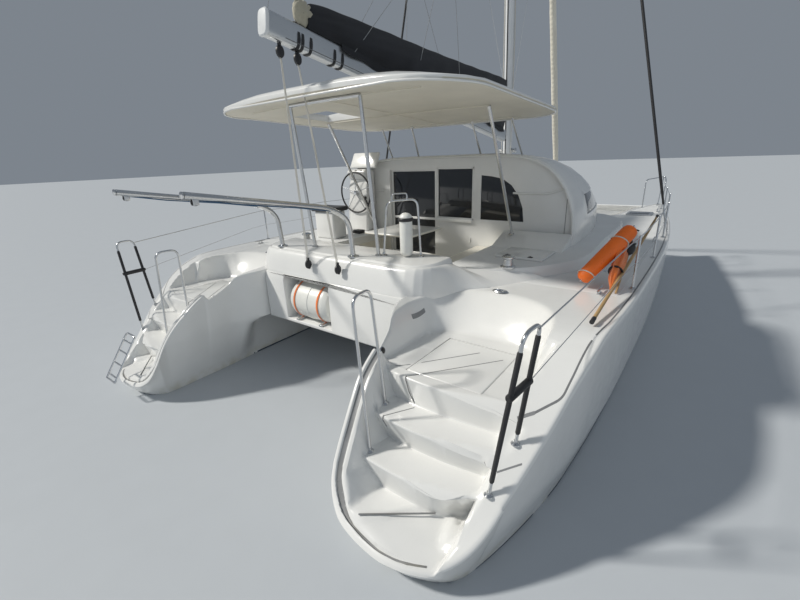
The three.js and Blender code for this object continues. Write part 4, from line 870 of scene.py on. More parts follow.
def under_water(centre, _):
    """Whether a face of a hull is under water and outside its engine bay."""
    x, y, z = centre
    in_bay = 1.15 < x < 1.86 and 1.8 < abs(y) < 2.43 and z > -0.03
    return z < 0.0 and not in_bay


def on_side_deck(centre, normal):
    """Whether a face of a hull is on the flat of its side deck."""
    x, y, z = centre
    if normal.z <= 0.98 or z <= 1.47 or x <= 3.0:
        return False
    return TRACK["inner"](x) + 0.12 < abs(y) < TRACK["outer"](x) - 0.17


def build_hull(side, name):
    top = hull_top()
    bottom = hull_bottom(top)
    verts, faces = grids(top, bottom, np.stack([top[-1], bottom[-1]]))
    hull = piece(name + "_skin", (verts * (1, side, 1), faces), GELCOAT, smooth=50, replaces=(name,))
    for x, y, z in (LID_BOX, BAY_BOX):
        cut_box(hull, x, sorted(side * v for v in y), z)
    shade(hull, 40)
    paint(hull, ANTIFOUL, under_water)
    paint(hull, NONSKID, on_side_deck)
    return hull


# Pieces that keep the frame's own shape, with softened edges

REFINED = (
    # node, material, body, bevel
    ("bridge_deck", GELCOAT, "root", 0.03),
    ("deck_coaming", GELCOAT, "root", 0.024),
    ("deckhouse_shell", GELCOAT, "root", 0.006),
    ("aft_wall", GELCOAT, "root", 0.008),
    ("saloon_door", GELCOAT, "saloon_door", 0.006),
    ("saloon_door_glass", GLASS, "saloon_door", 0.001),
    ("centre_window", GLASS, "root", 0.002),
    ("arch_window", GLASS, "root", 0.002),
    ("side_window_port", GLASS, "root", 0.002),
    ("side_window_starboard", GLASS, "root", 0.002),
    ("front_window_port", GLASS, "root", 0.002),
    ("front_window_starboard", GLASS, "root", 0.002),
    ("hard_top", GELCOAT, "root", 0.012),
    ("engine_lid_port", GELCOAT, "engine_lid_port", 0.012),
    ("engine_lid_starboard", GELCOAT, "engine_lid_starboard", 0.012),
    ("helm_console", GELCOAT, "root", 0.035),
    ("helm_seat_base", GELCOAT, "root", 0.03),
    ("bow_spine", GELCOAT, "root", 0.015),
    ("side_hatch_starboard", GELCOAT, "side_hatch", 0.012),
    ("propeller_port", BRONZE, "propeller_port", 0.003),
    ("propeller_starboard", BRONZE, "propeller_starboard", 0.003),
)


def build_refined():
    made = {row[0]: refine(*row) for row in REFINED}
    # Faces of the hard top that face down get the beige of painted reflected light
    paint(made["hard_top"], UNDERSIDE_PAINTED_REFLECTION, lambda c, n: n.z < -0.6)
    paint(made["bridge_deck"], CREAM, lambda c, n: c[0] > 2.5 and 1.0 < c[2] < 1.47 and abs(c[1]) < 1.17)
    paint(made["deck_coaming"], NONSKID, lambda c, n: n.z > 0.97 and 1.58 < c[2] < 1.62 and c[0] > 2.7)
    return made


def build_underwater():
    for _, word in SIDES:
        for node, body, bevel in (("keel_", "root", 0.02), ("rudder_", "rudder_" + word, 0.006),
                                  ("drive_leg_", "root", 0.006)):
            refine(node + word, ANTIFOUL, body, bevel, angle=40)


# Hard top's underside and outline, as the frame has them

TOP_AFT, TOP_FRONT, TOP_SIDE = 1.7, 4.93, 1.85
RIB = 0.005
POSTS = (
    # foot on the port side, head under the top, radius
    ((2.22, 0.56, 1.779), (2.06, 0.56), 0.022),
    ((4.44, 1.35, 1.70), (3.45, 1.36), 0.022),
    ((4.86, 0.60, 2.86), (4.58, 0.56), 0.016),
    ((4.98, 1.25, 2.80), (4.58, 1.19), 0.016),
)


def top_z(x, y=TOP_SIDE):
    camber = 0.06 * (TOP_FRONT - x) / 3.23
    return 3.44 + (3.4 - max(x, 2.4)) * 0.045 + camber * (1 - (y / TOP_SIDE) ** 2)


def top_half(x):
    """Half width of the hard top, whose corners are arcs."""
    def reach(corner, run):
        past = max(0.0, corner - run)
        return TOP_SIDE - corner + math.sqrt(corner**2 - past**2)

    return min(reach(0.62, x - TOP_AFT), reach(0.56, TOP_FRONT - x))


def under(x, y):
    return top_z(x, y) - 0.0225


def flange(at, radius=0.042, height=0.012, tilt=0.0):
    profile = [(radius, 0), (radius, height * 0.6), (radius * 0.8, height), (radius * 0.45, height * 1.6),
               (radius * 0.4, height * 3)]
    return lathe(profile, 20, at, (0, tilt, 0))


def build_top_ribs():
    """Ribs under the hard top: three across it, and one along its middle."""
    ribs = []
    for x in (2.06, 3.45, 4.58):
        reach = 0.75 * (top_half(x) - 0.03)
        for low, high in [(-reach, reach)] if x > 2.1 else [(-reach, -0.56), (0.56, reach)]:
            ribs.append(sweep([(x, y, under(x, y)) for y in np.linspace(low, high, 7)], RIB))
    ribs.append(sweep([(x, 0, under(x, 0)) for x in (2.09, 2.32, 2.7, 3.45, 4.0, 4.38, 4.58)], RIB))
    # The ribs take the same painted reflection as the underside
    piece("top_frame_ribs", ribs, UNDERSIDE_PAINTED_REFLECTION)


def build_top_moulding():
    xs = np.concatenate([[TOP_AFT, 1.72, 1.77], np.linspace(1.85, 4.8, 40), [4.87, 4.915, TOP_FRONT]])
    edge = [(x, max(top_half(x) - 0.010, 0.0), top_z(x, top_half(x)) - 0.002) for x in xs]
    edge += [(x, -y, z) for x, y, z in reversed(edge)]
    piece("top_edge_moulding", sweep([*edge, edge[0]], 0.011, caps=False), GELCOAT, smooth=50)


def build_top_frame():
    """Posts under the hard top, and the bar across its aft pair."""
    parts = [sweep([(2.06, y, under(2.06, y)) for y in np.linspace(-0.56, 0.56, 7)], 0.022, 16)]
    for side, _ in SIDES:
        for (x, y, z), head, radius in POSTS:
            parts.append(sweep([(x, side * y, z), (head[0], side * head[1], under(*head))], radius, 16))
    parts += [flange((2.22, y, 1.781)) for y in (0.56, -0.56)]
    parts += [flange((4.43, 1.35, 1.601)), flange((4.40, -1.35, 1.74), tilt=-0.33)]
    piece("top_frame_tubes", parts, STEEL, replaces=("top_frame",))


# Rig: mast, boom with its cover, stays and running lines

RAKE = math.radians(4.1)
BOOM_RISE = math.radians(8.9)
BOOM_END = -5.8
SPREADERS = 8.6
HOUNDS = 14.2
MAST_HEAD = 17.2


def mast_x(z):
    return 7.4 - (z - 2.3) * math.tan(RAKE)


GOOSENECK = (mast_x(3.23) - 0.205, 0.0, 3.23)


def on_boom(u, y, w):
    """A point from its place along the boom from the gooseneck (negative aft), across and above its axis."""
    c, s = math.cos(BOOM_RISE), math.sin(BOOM_RISE)
    return (GOOSENECK[0] + u * c + w * s, y, GOOSENECK[2] - u * s + w * c)


def oval(count, half_across, across_power, half_along, along_power):
    """A ring whose sides are flattened by powers below 1."""
    a = circle(count + 1)[:-1]
    across = np.sign(np.cos(a)) * np.abs(np.cos(a)) ** across_power * half_across
    return across, np.sign(np.sin(a)) * np.abs(np.sin(a)) ** along_power * half_along


def build_mast():
    along, across = oval(28, 0.13, 0.85, 0.08, 0.9)
    rings = []
    for z in np.concatenate([[2.292], np.linspace(2.3, HOUNDS, 30), np.linspace(14.5, MAST_HEAD, 8)]):
        scale = 1.0 if z < HOUNDS else 1 - 0.3 * (z - HOUNDS) / 3.0
        rings.append(np.stack([mast_x(z) + along * scale, across * scale, np.full(28, z)], -1))
    x, tip = mast_x(SPREADERS), mast_x(MAST_HEAD)
    parts = [closed(rings)]
    for s in (1, -1):
        arm = [(x, 0, SPREADERS), (x - 0.165, s * 0.475, 8.63), (x - 0.33, s * 0.95, 8.66)]
        parts.append(sweep(arm, [0.034, 0.03, 0.022], 14, 0.55))
    for s in (1, -1):
        lug = slab((-0.03, 0.105), (-0.028, 0.028), (s * 0.0363 - 0.006, s * 0.0363 + 0.006), 0.003)
        parts.append(turn(lug, GOOSENECK, (0, -RAKE, 0)))
    parts.append(slab((tip - 0.24, tip + 0.16), (-0.03, 0.03), (17.12, 17.16), 0.008))
    lamp = [(0.03, 0), (0.045, 0.02), (0.045, 0.09), (0.02, 0.12)]
    parts.append(turned(lamp, 16, (mast_x(9.4) + 0.15, 0, 9.4)))
    piece("mast_spar", parts, SPAR_WHITE, smooth=35, replaces=("mast",))


def build_mast_fittings():
    """Track, halyards and winches on the mast."""
    track = [(mast_x(z) - 0.132, 0, z) for z in np.linspace(2.6, 16.9, 30)]
    piece("mast_track", sweep(track, 0.011, 6), BLACK, slot="spar_alloy")
    halyards = []
    for k, y in enumerate((-0.055, -0.02, 0.03, 0.06)):
        side = -0.10 if y < 0 else 0.10
        route = [(mast_x(2.42) - 0.10, side, 2.45), (mast_x(5) - 0.02 * k, side, 5),
                 (mast_x(12) - 0.05, y, 12), (mast_x(16.9) - 0.1, y, 16.9)]
        halyards.append(sweep(route, 0.005, 6))
    piece("mast_halyards", halyards, ROPE_WHITE, slot="spar_alloy")
    drum = [(0.05, 0), (0.055, 0.02), (0.038, 0.03), (0.036, 0.08), (0.05, 0.09), (0.05, 0.10), (0.02, 0.105)]
    winches = [lathe(drum, 24, (mast_x(2.95), s * 0.082, 2.95), (s * -math.pi / 2, 0, 0)) for s in (1, -1)]
    piece("mast_winches", winches, STEEL)


def build_boom():
    section = np.stack(oval(32, 0.065, 0.5, 0.115, 0.45), -1)

    def rings(stations):
        return closed([[on_boom(u, y * k, w * k) for y, w in section] for u, k in stations])

    spar = rings([(BOOM_END, 1.0), (-4.0, 1.0), (-2.0, 1.0), (-0.075, 1.0)])
    arm = sweep([on_boom(-0.08, 0, 0), on_boom(0.0, 0, 0)], 0.018)
    knuckle = lathe([(0.024, -0.03), (0.024, 0.03)], 20, GOOSENECK, (0, -RAKE, 0))
    piece("boom_spar", [spar, arm, knuckle], ALLOY, "boom", smooth=30, replaces=("boom",))
    cap = rings([(-5.83, 0.55), (-5.826, 0.94), (-5.815, 1.05), (-5.795, 1.05), (-5.79, 1.0)])
    piece("boom_end_cap", cap, SPAR_WHITE, "boom", smooth=35)
    grooves = [sweep([on_boom(-5.6, y, -0.075), on_boom(-0.5, y, -0.075)], 0.004, 6) for y in (0.066, -0.066)]
    piece("boom_grooves", grooves, GASKET_GREY_AND_SHADE, "boom", "spar_alloy")


# Height and half width of the sail under its cover, by the distance from the boom's end
COVER = smooth_curve((0.50, 0.53, 0.57, 1.4, 2.8, 4.3, 5.25, 5.60),
                     (0.20, 0.25, 0.265, 0.385, 0.55, 0.745, 0.88, 0.915))
COVER_HALF = smooth_curve((0.50, 0.56, 1.4, 2.8, 4.3, 5.25, 5.60),
                          (0.055, 0.07, 0.115, 0.15, 0.165, 0.15, 0.085))
SPAR_TOP = 0.1155
STRAPS = (0.36, 0.41, 0.52, 0.86, 0.98)


def cover_ring(along, count=44):
    """One ring of the cover over the boom's top, with its folds."""
    height, half = float(COVER(along)), float(COVER_HALF(along))
    ring = []
    for k in range(count):
        t = k / count
        a = 2 * math.pi * t - math.pi / 2
        up = 0.5 + 0.5 * math.sin(a)
        wide = abs(math.cos(a)) ** 0.75 * (1 - 0.62 * up**1.6) * (1 + 0.35 * (1 - up) ** 2)
        fold = 0.004 * math.sin(9 * a + 5.0 * along) * up * (1 - up) * 3
        fold += 0.003 * math.sin(17 * along + 4 * a)
        fold += 0.005 * math.sin(2.3 * along + 3 * a)
        y = math.copysign(1, math.cos(a)) * half * wide + fold * math.cos(a)
        w = SPAR_TOP + height * up + 0.003 * math.sin(11 * along) * up
        ring.append(on_boom(along + BOOM_END, y, max(w, SPAR_TOP) if up >= 0.06 else SPAR_TOP))
    return ring


def build_cover():
    rings = [cover_ring(along) for along in np.arange(0.50, 5.601, 0.03)]
    cover = piece("sail_cover_cloth", closed(rings), CANVAS, "boom", smooth=45, replaces=("sail_cover",))


def build_clew():
    """Clew of the sail, gathered and tied down aft of the cover."""
    rings = []
    for t in np.linspace(0, 1, 26):
        swell = (4 * t * (1 - t)) ** 0.45 + 0.04
        tie = 1 - 0.22 * math.exp(-((t - 0.62) / 0.06) ** 2)
        ring = []
        for a in circle(41)[:-1]:
            fold = 1 + 0.09 * math.cos(7 * a + 6 * t) + 0.05 * math.sin(12 * a - 9 * t)
            y, w = 0.055 * math.cos(a) * swell * fold * tie, 0.125 * math.sin(a) * swell * fold * tie
            ring.append(on_boom(-5.46 + 0.26 * t, y, max(0.255 - 0.03 * t + w, 0.117)))
        rings.append(ring)
    bundle = piece("sail_clew", closed(rings), CLEW, "boom", smooth=60)


def build_cover_flaps():
    """Side flaps of the cover that hang a little over the spar."""
    for side, word in SIDES:
        rings = []
        for along in np.arange(0.95, 5.56, 0.05):
            sag = 0.012 * math.sin(13 * along) + 0.01 * math.sin(5.1 * along)
            hang = 0.085 + sag
            row = []
            for t in (0, 0.25, 0.5, 0.75, 1):
                y = side * (0.079 + 0.012 * math.sin(7 * along) * t + 0.006 * t)
                row.append(on_boom(along + BOOM_END, y, 0.155 - hang * t - 0.03))
            rings.append(row + [(x, y - side * 0.003, z) for x, y, z in reversed(row)])
        flap = piece("cover_flap_" + word, closed(rings), CANVAS, "boom", smooth=60)


def build_boom_straps():
    """Straps round the boom and the aft end of its sail."""
    loop = []
    for k in range(33):
        a = 2 * math.pi * k / 32
        up = 0.5 + 0.5 * math.sin(a)
        wide = 0.072 * (1 - up) + 0.07 * up * (1.15 - 0.75 * up)
        loop.append((math.copysign(abs(math.cos(a)) ** 0.6, math.cos(a)) * wide * 1.06, -0.122 + 0.257 * up))
    bands = []
    for along in STRAPS:
        edges = [[on_boom(along + BOOM_END + edge, y, w) for y, w in loop] for edge in (-0.016, 0.016)]
        bands.append(np.array(edges))
    straps = piece("boom_straps", grids(*bands), BLACK_SLEEVE, "boom", "cover_fabric", 60)
    apply(straps, "SOLIDIFY", thickness=0.004, offset=1.0)
    shade(straps, 50)


def block_shape(at, size=0.045):
    """A sheet block: its cheeks and the strap that holds it."""
    cheek = [(0.001, -0.42), (0.7, -0.42), (1.0, -0.25), (1.0, 0.25), (0.7, 0.42), (0.001, 0.42)]
    body = lathe([(r * size, h * size) for r, h in cheek], 20, at, scale=(1, 1, 1.25), axis="Y")
    strap = slab((at[0] - 0.008, at[0] + 0.008), (at[1] - size * 0.5, at[1] + size * 0.5),
                 (at[2] - size * 1.3, at[2] + size * 1.9), 0.003)
    return [body, strap]


def build_mainsheet():
    """Two falls of the mainsheet from the aft beam to the boom's end."""
    tops = [on_boom(-5.62, 0.0, -0.19), on_boom(-5.40, 0.0, -0.19)]
    feet = [(1.815, 0.26, 1.66), (1.815, -0.26, 1.66)]
    piece("sheet_blocks_upper", block_shape(tops[0]) + block_shape(tops[1]), BLACK, "boom")
    piece("sheet_blocks_lower", block_shape(feet[0]) + block_shape(feet[1]), BLACK)
    falls = []
    for top, foot in zip(tops, feet):
        for shift in (-0.013, 0.0, 0.013):
            a = (foot[0] + shift, foot[1], foot[2] + 0.05)
            b = (top[0] + shift, top[1] + shift * 0.5, top[2] - 0.05)
            falls.append(sweep(between(a, b, np.linspace(0, 1, 14)), 0.0036, 8))
    sheet = piece("mainsheet_falls", falls, ROPE_WHITE, None, "stainless")
    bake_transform(sheet)


def build_lazy_jacks():
    """Lazy jacks on each side of the boom, and the topping lift."""
    lines = []
    for side in (1, -1):
        joint = on_boom(-3.2, side * 0.35, 2.1)
        lines.append(((mast_x(SPREADERS) - 0.165, side * 0.475, 8.58), joint))
        lines += [(joint, on_boom(u, side * 0.07, 0.02)) for u in (-4.7, -3.4, -2.0)]
    lines.append(((mast_x(17.1) - 0.22, 0, 17.12), on_boom(-5.76, 0, 0.13)))
    shapes = [sweep(between(a, b, np.linspace(0, 1, 10)), 0.0035, 6) for a, b in lines]
    jacks = piece("lazy_jacks", shapes, ROPE_GREY, None)
    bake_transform(jacks)


def build_headsail():
    """The furled headsail, wound spirally round its stay, with the furling drum under it."""
    tack, head = np.array((11.24, 0, 1.5)), np.array((mast_x(HOUNDS) + 0.09, 0, HOUNDS))
    radius = smooth_curve((0.02, 0.045, 0.2, 0.6, 0.93, 0.94), (0.035, 0.055, 0.08, 0.061, 0.034, 0.02))
    sides, rings = 26, []
    for share in np.linspace(0.0215, 0.935, 150):
        at = tack * (1 - share) + head * share
        ring = []
        for k in range(sides):
            a = 2 * math.pi * k / sides
            step = (a / (2 * math.pi) + share * 16) % 1
            r = float(radius(share)) * (0.93 + 0.07 * step)
            ring.append((at[0] + r * math.cos(a), r * math.sin(a), at[2] + r * math.cos(a) * 0.36))
        rings.append(ring)
    piece("headsail_roll", closed(rings), SAIL, smooth=60, replaces=("furled_headsail",))
    drum = [(0.03, -0.01), (0.09, -0.005), (0.09, 0.01), (0.05, 0.014), (0.05, 0.075), (0.09, 0.08),
            (0.09, 0.094), (0.03, 0.10), (0.03, 0.15), (0.02, 0.16)]
    tilt = math.atan2(head[0] - tack[0], head[2] - tack[2])
    piece("headsail_stay_and_drum", [
        sweep(between(tack, head, (0.012, 0.5, 0.999)), 0.006, 10),
        lathe(drum, 28, between(tack, head, (0.013,))[0], (0, tilt, 0)),
        sweep(between(tack, head, (0.0015, 0.012)), 0.013),
    ], STEEL)


def build_shrouds():
    for side, word in SIDES:
        foot, top = (6.76, side * 3.17, 1.482), (mast_x(HOUNDS), side * 0.085, 14.12)
        screw = between(foot, top, (0.012, 0.014, 0.034, 0.036))
        piece("shroud_wire_" + word, [
            sweep([foot, top], 0.007, 10),
            sweep(screw, [0.007, 0.014, 0.014, 0.007]),
            slab((6.70, 6.82), (side * 3.17 - 0.006, side * 3.17 + 0.006), (1.47, 1.56), 0.003),
        ], STEEL, replaces=("shroud_" + word,))
        sleeve = between(foot, top, (0.04, 0.06, 0.4, 0.42))
        piece("shroud_sleeve_" + word, sweep(sleeve, [0.014, 0.022, 0.022, 0.012], 14), BLACK_SLEEVE)


def build_diamond_stays():
    """Stays from the mast over the ends of the spreaders."""
    stays = []
    for side in (1, -1):
        tip = (mast_x(SPREADERS) - 0.33, side * 0.95, 8.66)
        stays += [sweep([(mast_x(z), side * 0.085, z), tip], 0.005, 8) for z in (4.1, 13.9)]
    piece("diamond_stays", stays, STEEL)


# Rails round the deck, on the stairs and over the aft beam

RAIL = 0.013
STANCHIONS = (3.3, 4.9, 6.5, 8.1, 9.5)
PULPIT = 10.35
# Lower and upper lifeline: height, radius and its fixed end on the stair rail
LIFELINES = ((2.03, 0.006, (0.89, 2.945, 1.86)), (1.76, 0.0035, (0.905, 2.897, 1.45)))
# Each rail's feet and bends; a height of 0 stands for the surface under it
STAIR_RAILS = {
    "inner": ((0.57, 1.745, 0.0), (0.62, 1.625, 1.90), (0.87, 1.59, 1.90), (0.875, 1.68, 0.0)),
    "outer": ((0.66, 2.76, 0.0), (0.66, 2.93, 1.90), (0.89, 2.95, 1.90), (0.93, 2.83, 0.0)),
}


def edge_y(x):
    return float(TRACK["outer"](x)) - 0.09


def surface_z(x, y):
    """Height of the deck or stairs of a hull at a point, with y as on the port side."""
    at = (np.array([float(x)]), np.array([abs(float(y))]))
    return float(np.minimum(rim_height(*at), stairs_height(*at))[0])


def stanchions(side):
    parts = []
    for x in STANCHIONS:
        y = side * edge_y(x)
        parts.append(sweep([(x, y, 1.482), (x, y, 2.04), (x, y, 2.05)], [RAIL, RAIL, RAIL * 0.6], 14))
        parts.append(flange((x, y, 1.481), 0.036))
        parts += [sweep([(x, y - 0.016, z), (x, y + 0.016, z)], 0.008, 10) for z in (1.76, 2.03)]
    return parts


def lifelines(side):
    """Wires that sag a little between the stanchions."""
    parts = []
    for z, radius, end in LIFELINES:
        posts = [(x, side * edge_y(x), z) for x in (*STANCHIONS, PULPIT)]
        wire = []
        for a, b in zip(posts, posts[1:]):
            for t in (0, 0.25, 0.5, 0.75):
                wire.append(tuple(np.array(a) * (1 - t) + np.array(b) * t - (0, 0, 0.048 * t * (1 - t))))
        parts.append(sweep([*wire, posts[-1]], radius, 8))
        aft = [posts[0], (2.95, side * (edge_y(3.0) - 0.03), z - 0.02), (end[0], side * end[1], end[2])]
        parts.append(sweep(aft, radius, 8))
    return parts


def pulpit(side):
    outer = side * edge_y(PULPIT)
    rail = rounded([(PULPIT, outer, 1.49), (PULPIT, outer, 2.16), (11.38, side * 2.65, 2.18),
                    (11.38, side * 2.58, 2.18), (10.5, side * 2.33, 2.16), (10.5, side * 2.33, 1.49)], 0.11)
    strut = [(11.38, side * 2.615, 2.18), (11.18, side * 2.60, 1.50)]
    parts = [sweep(rail, RAIL, 14), sweep(strut, RAIL, 14)]
    for x, y, z in ((PULPIT, edge_y(PULPIT), 1.482), (10.5, 2.33, 1.482), (11.18, 2.60, 1.502)):
        parts.append(flange((x, side * y, z), 0.036))
    return parts


def build_guardrails():
    for side, word in SIDES:
        parts = stanchions(side) + lifelines(side) + pulpit(side)
        piece("guardrail_tubes_" + word, parts, STEEL, replaces=("guardrail_" + word,))


def rail_sleeves(feet):
    """Black sleeves on both legs of a rail, and the padded bar across them."""
    legs = [(feet[0], feet[1]), (feet[3], feet[2])]
    parts = [sweep(between(a, b, (0.10, 0.11, 0.9, 0.91)), [0.014, 0.018, 0.018, 0.014], 14) for a, b in legs]
    a, b = (np.array(p) + (np.array(q) - p) * (1.46 - p[2]) / (q[2] - p[2]) for p, q in legs)
    middle, reach = (a + b) / 2, (b - a) * 0.62
    bar = [tuple(middle + reach * share) for share in (-1, -0.9, 0.9, 1)]
    return parts + [sweep(bar, [0.018, 0.027, 0.027, 0.018], 14)]


def build_stair_rails():
    for side, word in SIDES:
        for name, points in STAIR_RAILS.items():
            feet = [(x, side * y, z or surface_z(x, y) - 0.004) for x, y, z in points]
            bases = [flange((x, y, z + 0.003), 0.034) for x, y, z in (feet[0], feet[-1])]
            piece(f"stair_rail_{name}_tube_{word}", [sweep(rounded(feet, 0.09, 7), RAIL, 16), *bases], STEEL,
                  replaces=(f"stair_rail_{name}_{word}",))
            if name == "outer":
                piece("stair_rail_sleeves_" + word, rail_sleeves(feet), BLACK_SLEEVE)


def build_aft_rail():
    route = rounded([(2.25, -0.62, 1.779), (2.25, -0.70, 2.42), (2.40, -1.02, 2.44), (2.42, -1.04, 1.779)],
                    0.09, 7)
    handle = rounded([(2.27, -0.76, 2.425), (2.27, -0.76, 2.50), (2.34, -0.92, 2.505), (2.34, -0.92, 2.435)],
                     0.03, 4)
    feet = [flange((2.25, -0.62, 1.781)), flange((2.42, -1.04, 1.781))]
    parts = [sweep(route, RAIL, 16), *feet, sweep(handle, 0.008, 10)]
    piece("aft_rail_tube", parts, STEEL, replaces=("aft_rail",))


def build_davits():
    for y, word in ((1.0, "port"), (-0.33, "starboard")):
        route = rounded([(2.02, y, 1.779), (1.99, y, 2.23), (1.70, y, 2.39), (0.16, y, 2.66)], 0.18, 8)
        cap = turned([(0.026, 0), (0.03, 0.004), (0.03, 0.03), (0.024, 0.036)], 20, axis="X")
        parts = [sweep(route, 0.03, 20), turn(cap, (0.155, y, 2.661), (0, 0, 0), (-0.4, 1, 1)),
                 flange((2.02, y, 1.781), 0.07, 0.016)]
        for middle in (y + 0.019, y - 0.019):
            parts.append(slab((0.215, 0.265), (middle - 0.003, middle + 0.003), (2.575, 2.655), 0.002))
        parts.append(slab((1.70, 1.86), (y - 0.012, y + 0.012), (2.335, 2.35), 0.005))
        piece("davit_arm_" + word, parts, STEEL, replaces=("davit_" + word,))
        wheel = [(0.012, -0.014), (0.03, -0.012), (0.022, 0), (0.03, 0.012), (0.012, 0.014)]
        piece("davit_sheave_" + word, lathe(wheel, 20, (0.24, y, 2.60), axis="Y"), BLACK)
        fall = [(0.26, y, 2.615), (0.6, y - 0.028, 2.545), (1.2, y - 0.031, 2.452), (1.68, y - 0.02, 2.362),
                (1.78, y, 2.332)]
        piece("davit_fall_" + word, sweep(fall, 0.006, 8), ROPE_BLUE)


# Bow: crossbeam, nets and the fittings on the spine

NET_AFT, NET_DEEP = 8.66, 2.35


def net_edge(x):
    """Where the net's outer edge meets the hull or ends short of the crossbeam's end."""
    return min(2.40, float(side_in(x, 1.461)) - 0.006)


def build_crossbeam():
    pole = sweep([(11.05, y, 1.395) for y in np.linspace(-2.445, 2.445, 15)], 0.085, 32)
    piece("crossbeam_pole", pole, SPAR_WHITE, replaces=("crossbeam",))
    parts = [sweep([(11.12, 0, 1.33), (11.18, 0, 1.06)], 0.02)]
    parts += [sweep([(11.2, s * 2.40, 1.42), (11.19, 0, 1.05)], 0.006, 8) for s in (1, -1)]
    parts += [slab((11.10, 11.16), (s * 0.30 - 0.01, s * 0.30 + 0.01), (1.34, 1.44), 0.004) for s in (1, -1)]
    parts.append(slab((11.19, 11.27), (-0.012, 0.012), (1.555, 1.61), 0.003))
    piece("crossbeam_stays", parts, STEEL)


def build_nets():
    """The nets, sagging a little, and the lacing along each hull."""
    for side, word in SIDES:
        rows = []
        for x in np.concatenate([np.linspace(NET_AFT, 10.94, 58), np.linspace(10.95, 11.008, 3)]):
            u, edge = (x - NET_AFT) / NET_DEEP, net_edge(x)
            row = []
            for v in np.linspace(0, 1, 56):
                sag = 0.006 * math.sin(math.pi * u) * math.sin(math.pi * v)
                row.append((x, side * (0.004 + (edge - 0.004) * v), 1.4655 - sag))
            rows.append(row)
        mesh = plate(np.array(rows), 0.007)
        net = piece("net_mesh_" + word, mesh, NETTING, smooth=60, replaces=("net_" + word,))
        zigzag = []
        for k in range(61):
            x = 8.75 + k * 2.15 / 60
            edge = min(2.40, float(side_in(x, 1.461)))
            zigzag.append((x, side * (edge - (0.03 if k % 2 else 0.004)), 1.472))
        piece("net_lacing_" + word, sweep(zigzag, 0.004, 6), ROPE_WHITE, slot="netting")


def build_windlass():
    drum = [(0.09, 0), (0.10, 0.01), (0.10, 0.07), (0.085, 0.09), (0.05, 0.10), (0.04, 0.12), (0.06, 0.13),
            (0.06, 0.17), (0.03, 0.18)]
    base = slab((8.80, 9.12), (-0.09, 0.09), (1.553, 1.585), 0.01)
    piece("windlass", [lathe(drum, 28, (8.95, 0, 1.556)), base], STEEL)
    links = []
    for k in range(52):
        x = 9.08 + k * 0.0405
        y = float(0.1 * ease(9.1, 10.6, x))
        ring = [(0.020 * math.cos(t), 0.0115 * math.sin(t)) for t in circle(11)]
        route = [(x + a, y + b, 1.562) if k % 2 else (x + a, y, 1.568 + b) for a, b in ring]
        links.append(sweep(route, 0.0045, 6, caps=False))
    piece("anchor_chain", links, STEEL, smooth=60)


def build_anchor():
    """Anchor in its roller on the spine."""
    shank = sweep([(11.15, 0.1, 1.60), (11.34, 0.1, 1.60), (11.44, 0.1, 1.50)], [0.014, 0.018, 0.016], 10)
    cheeks = [slab((11.24, 11.41), (y - 0.004, y + 0.004), (1.52, 1.605), 0.003) for y in (0.066, 0.134)]
    roller = lathe([(0.03, -0.028), (0.018, 0), (0.03, 0.028)], 20, (11.37, 0.1, 1.545), axis="Y")
    fluke = ([(11.46, 0.1, 1.52), (11.30, 0.1, 1.30), (11.42, 0.23, 1.36), (11.42, -0.03, 1.36),
              (11.20, 0.1, 1.27), (11.47, 0.1, 1.44)],
             [(0, 2, 1), (0, 1, 3), (1, 2, 4), (1, 4, 3), (0, 5, 2), (0, 3, 5), (5, 4, 2), (5, 3, 4)])
    piece("anchor_and_roller", [shank, *cheeks, roller, fluke], STEEL, smooth=30)


# Cockpit and helm

RAFT_BANDS = (0.15, 0.59)


def build_raft():
    x, z, radius = 2.04, 0.83 + 0.27 * math.cos(math.pi / 14) + 0.001, 0.2665
    profile = [
        (0.02, 0.0), (0.17, 0.006), (0.225, 0.03), (0.252, 0.075), (0.258, 0.12), (0.262, 0.20),
        (0.262, 0.335), (0.2685, 0.34), (0.2685, 0.40), (0.262, 0.405), (0.262, 0.54), (0.258, 0.62),
        (0.252, 0.665), (0.225, 0.71), (0.17, 0.734), (0.02, 0.74)]
    shell = lathe(profile, 48, (x, 0, z), axis="Y")
    piece("raft_shell", shell, FENDER, smooth=35, replaces=("raft_canister",))
    bands = []
    turns = circle(48, 0.6, 2 * math.pi - 0.3)
    for y in RAFT_BANDS:
        ring = [(x + radius * math.cos(t), y, z + radius * math.sin(t)) for t in turns]
        bands.append(sweep(ring, 0.016, 8, 0.18))
    piece("raft_bands", bands, SLING)
    cradle = [slab((1.80, 2.30), (y - 0.03, y + 0.03), (0.832, 0.86), 0.008) for y in RAFT_BANDS]
    piece("raft_cradle", cradle, STEEL)


def build_wheel():
    cx, cy, cz = 4.2997, 1.67, 2.30
    hub = [(0.02, -0.025), (0.036, -0.022), (0.045, -0.008), (0.045, 0.06)]
    parts = [lathe(hub, 28, (cx, cy, cz), axis="X")]
    for k in range(5):
        a = 2 * math.pi * k / 5 + math.pi / 2
        spoke = [(cx - 0.003, cy + r * math.cos(a), cz + r * math.sin(a)) for r in (0.03, 0.2, 0.352)]
        parts.append(sweep(spoke, [0.010, 0.008, 0.007]))
    piece("wheel_spokes", parts, STEEL, "steering_wheel")
    ring = [(cx, cy + 0.36 * math.cos(t), cz + 0.36 * math.sin(t)) for t in circle(65)]
    piece("wheel_rim", sweep(ring, 0.0155, 14, caps=False), BLACK_SLEEVE, "steering_wheel", smooth=60,
          replaces=("steering_wheel",))


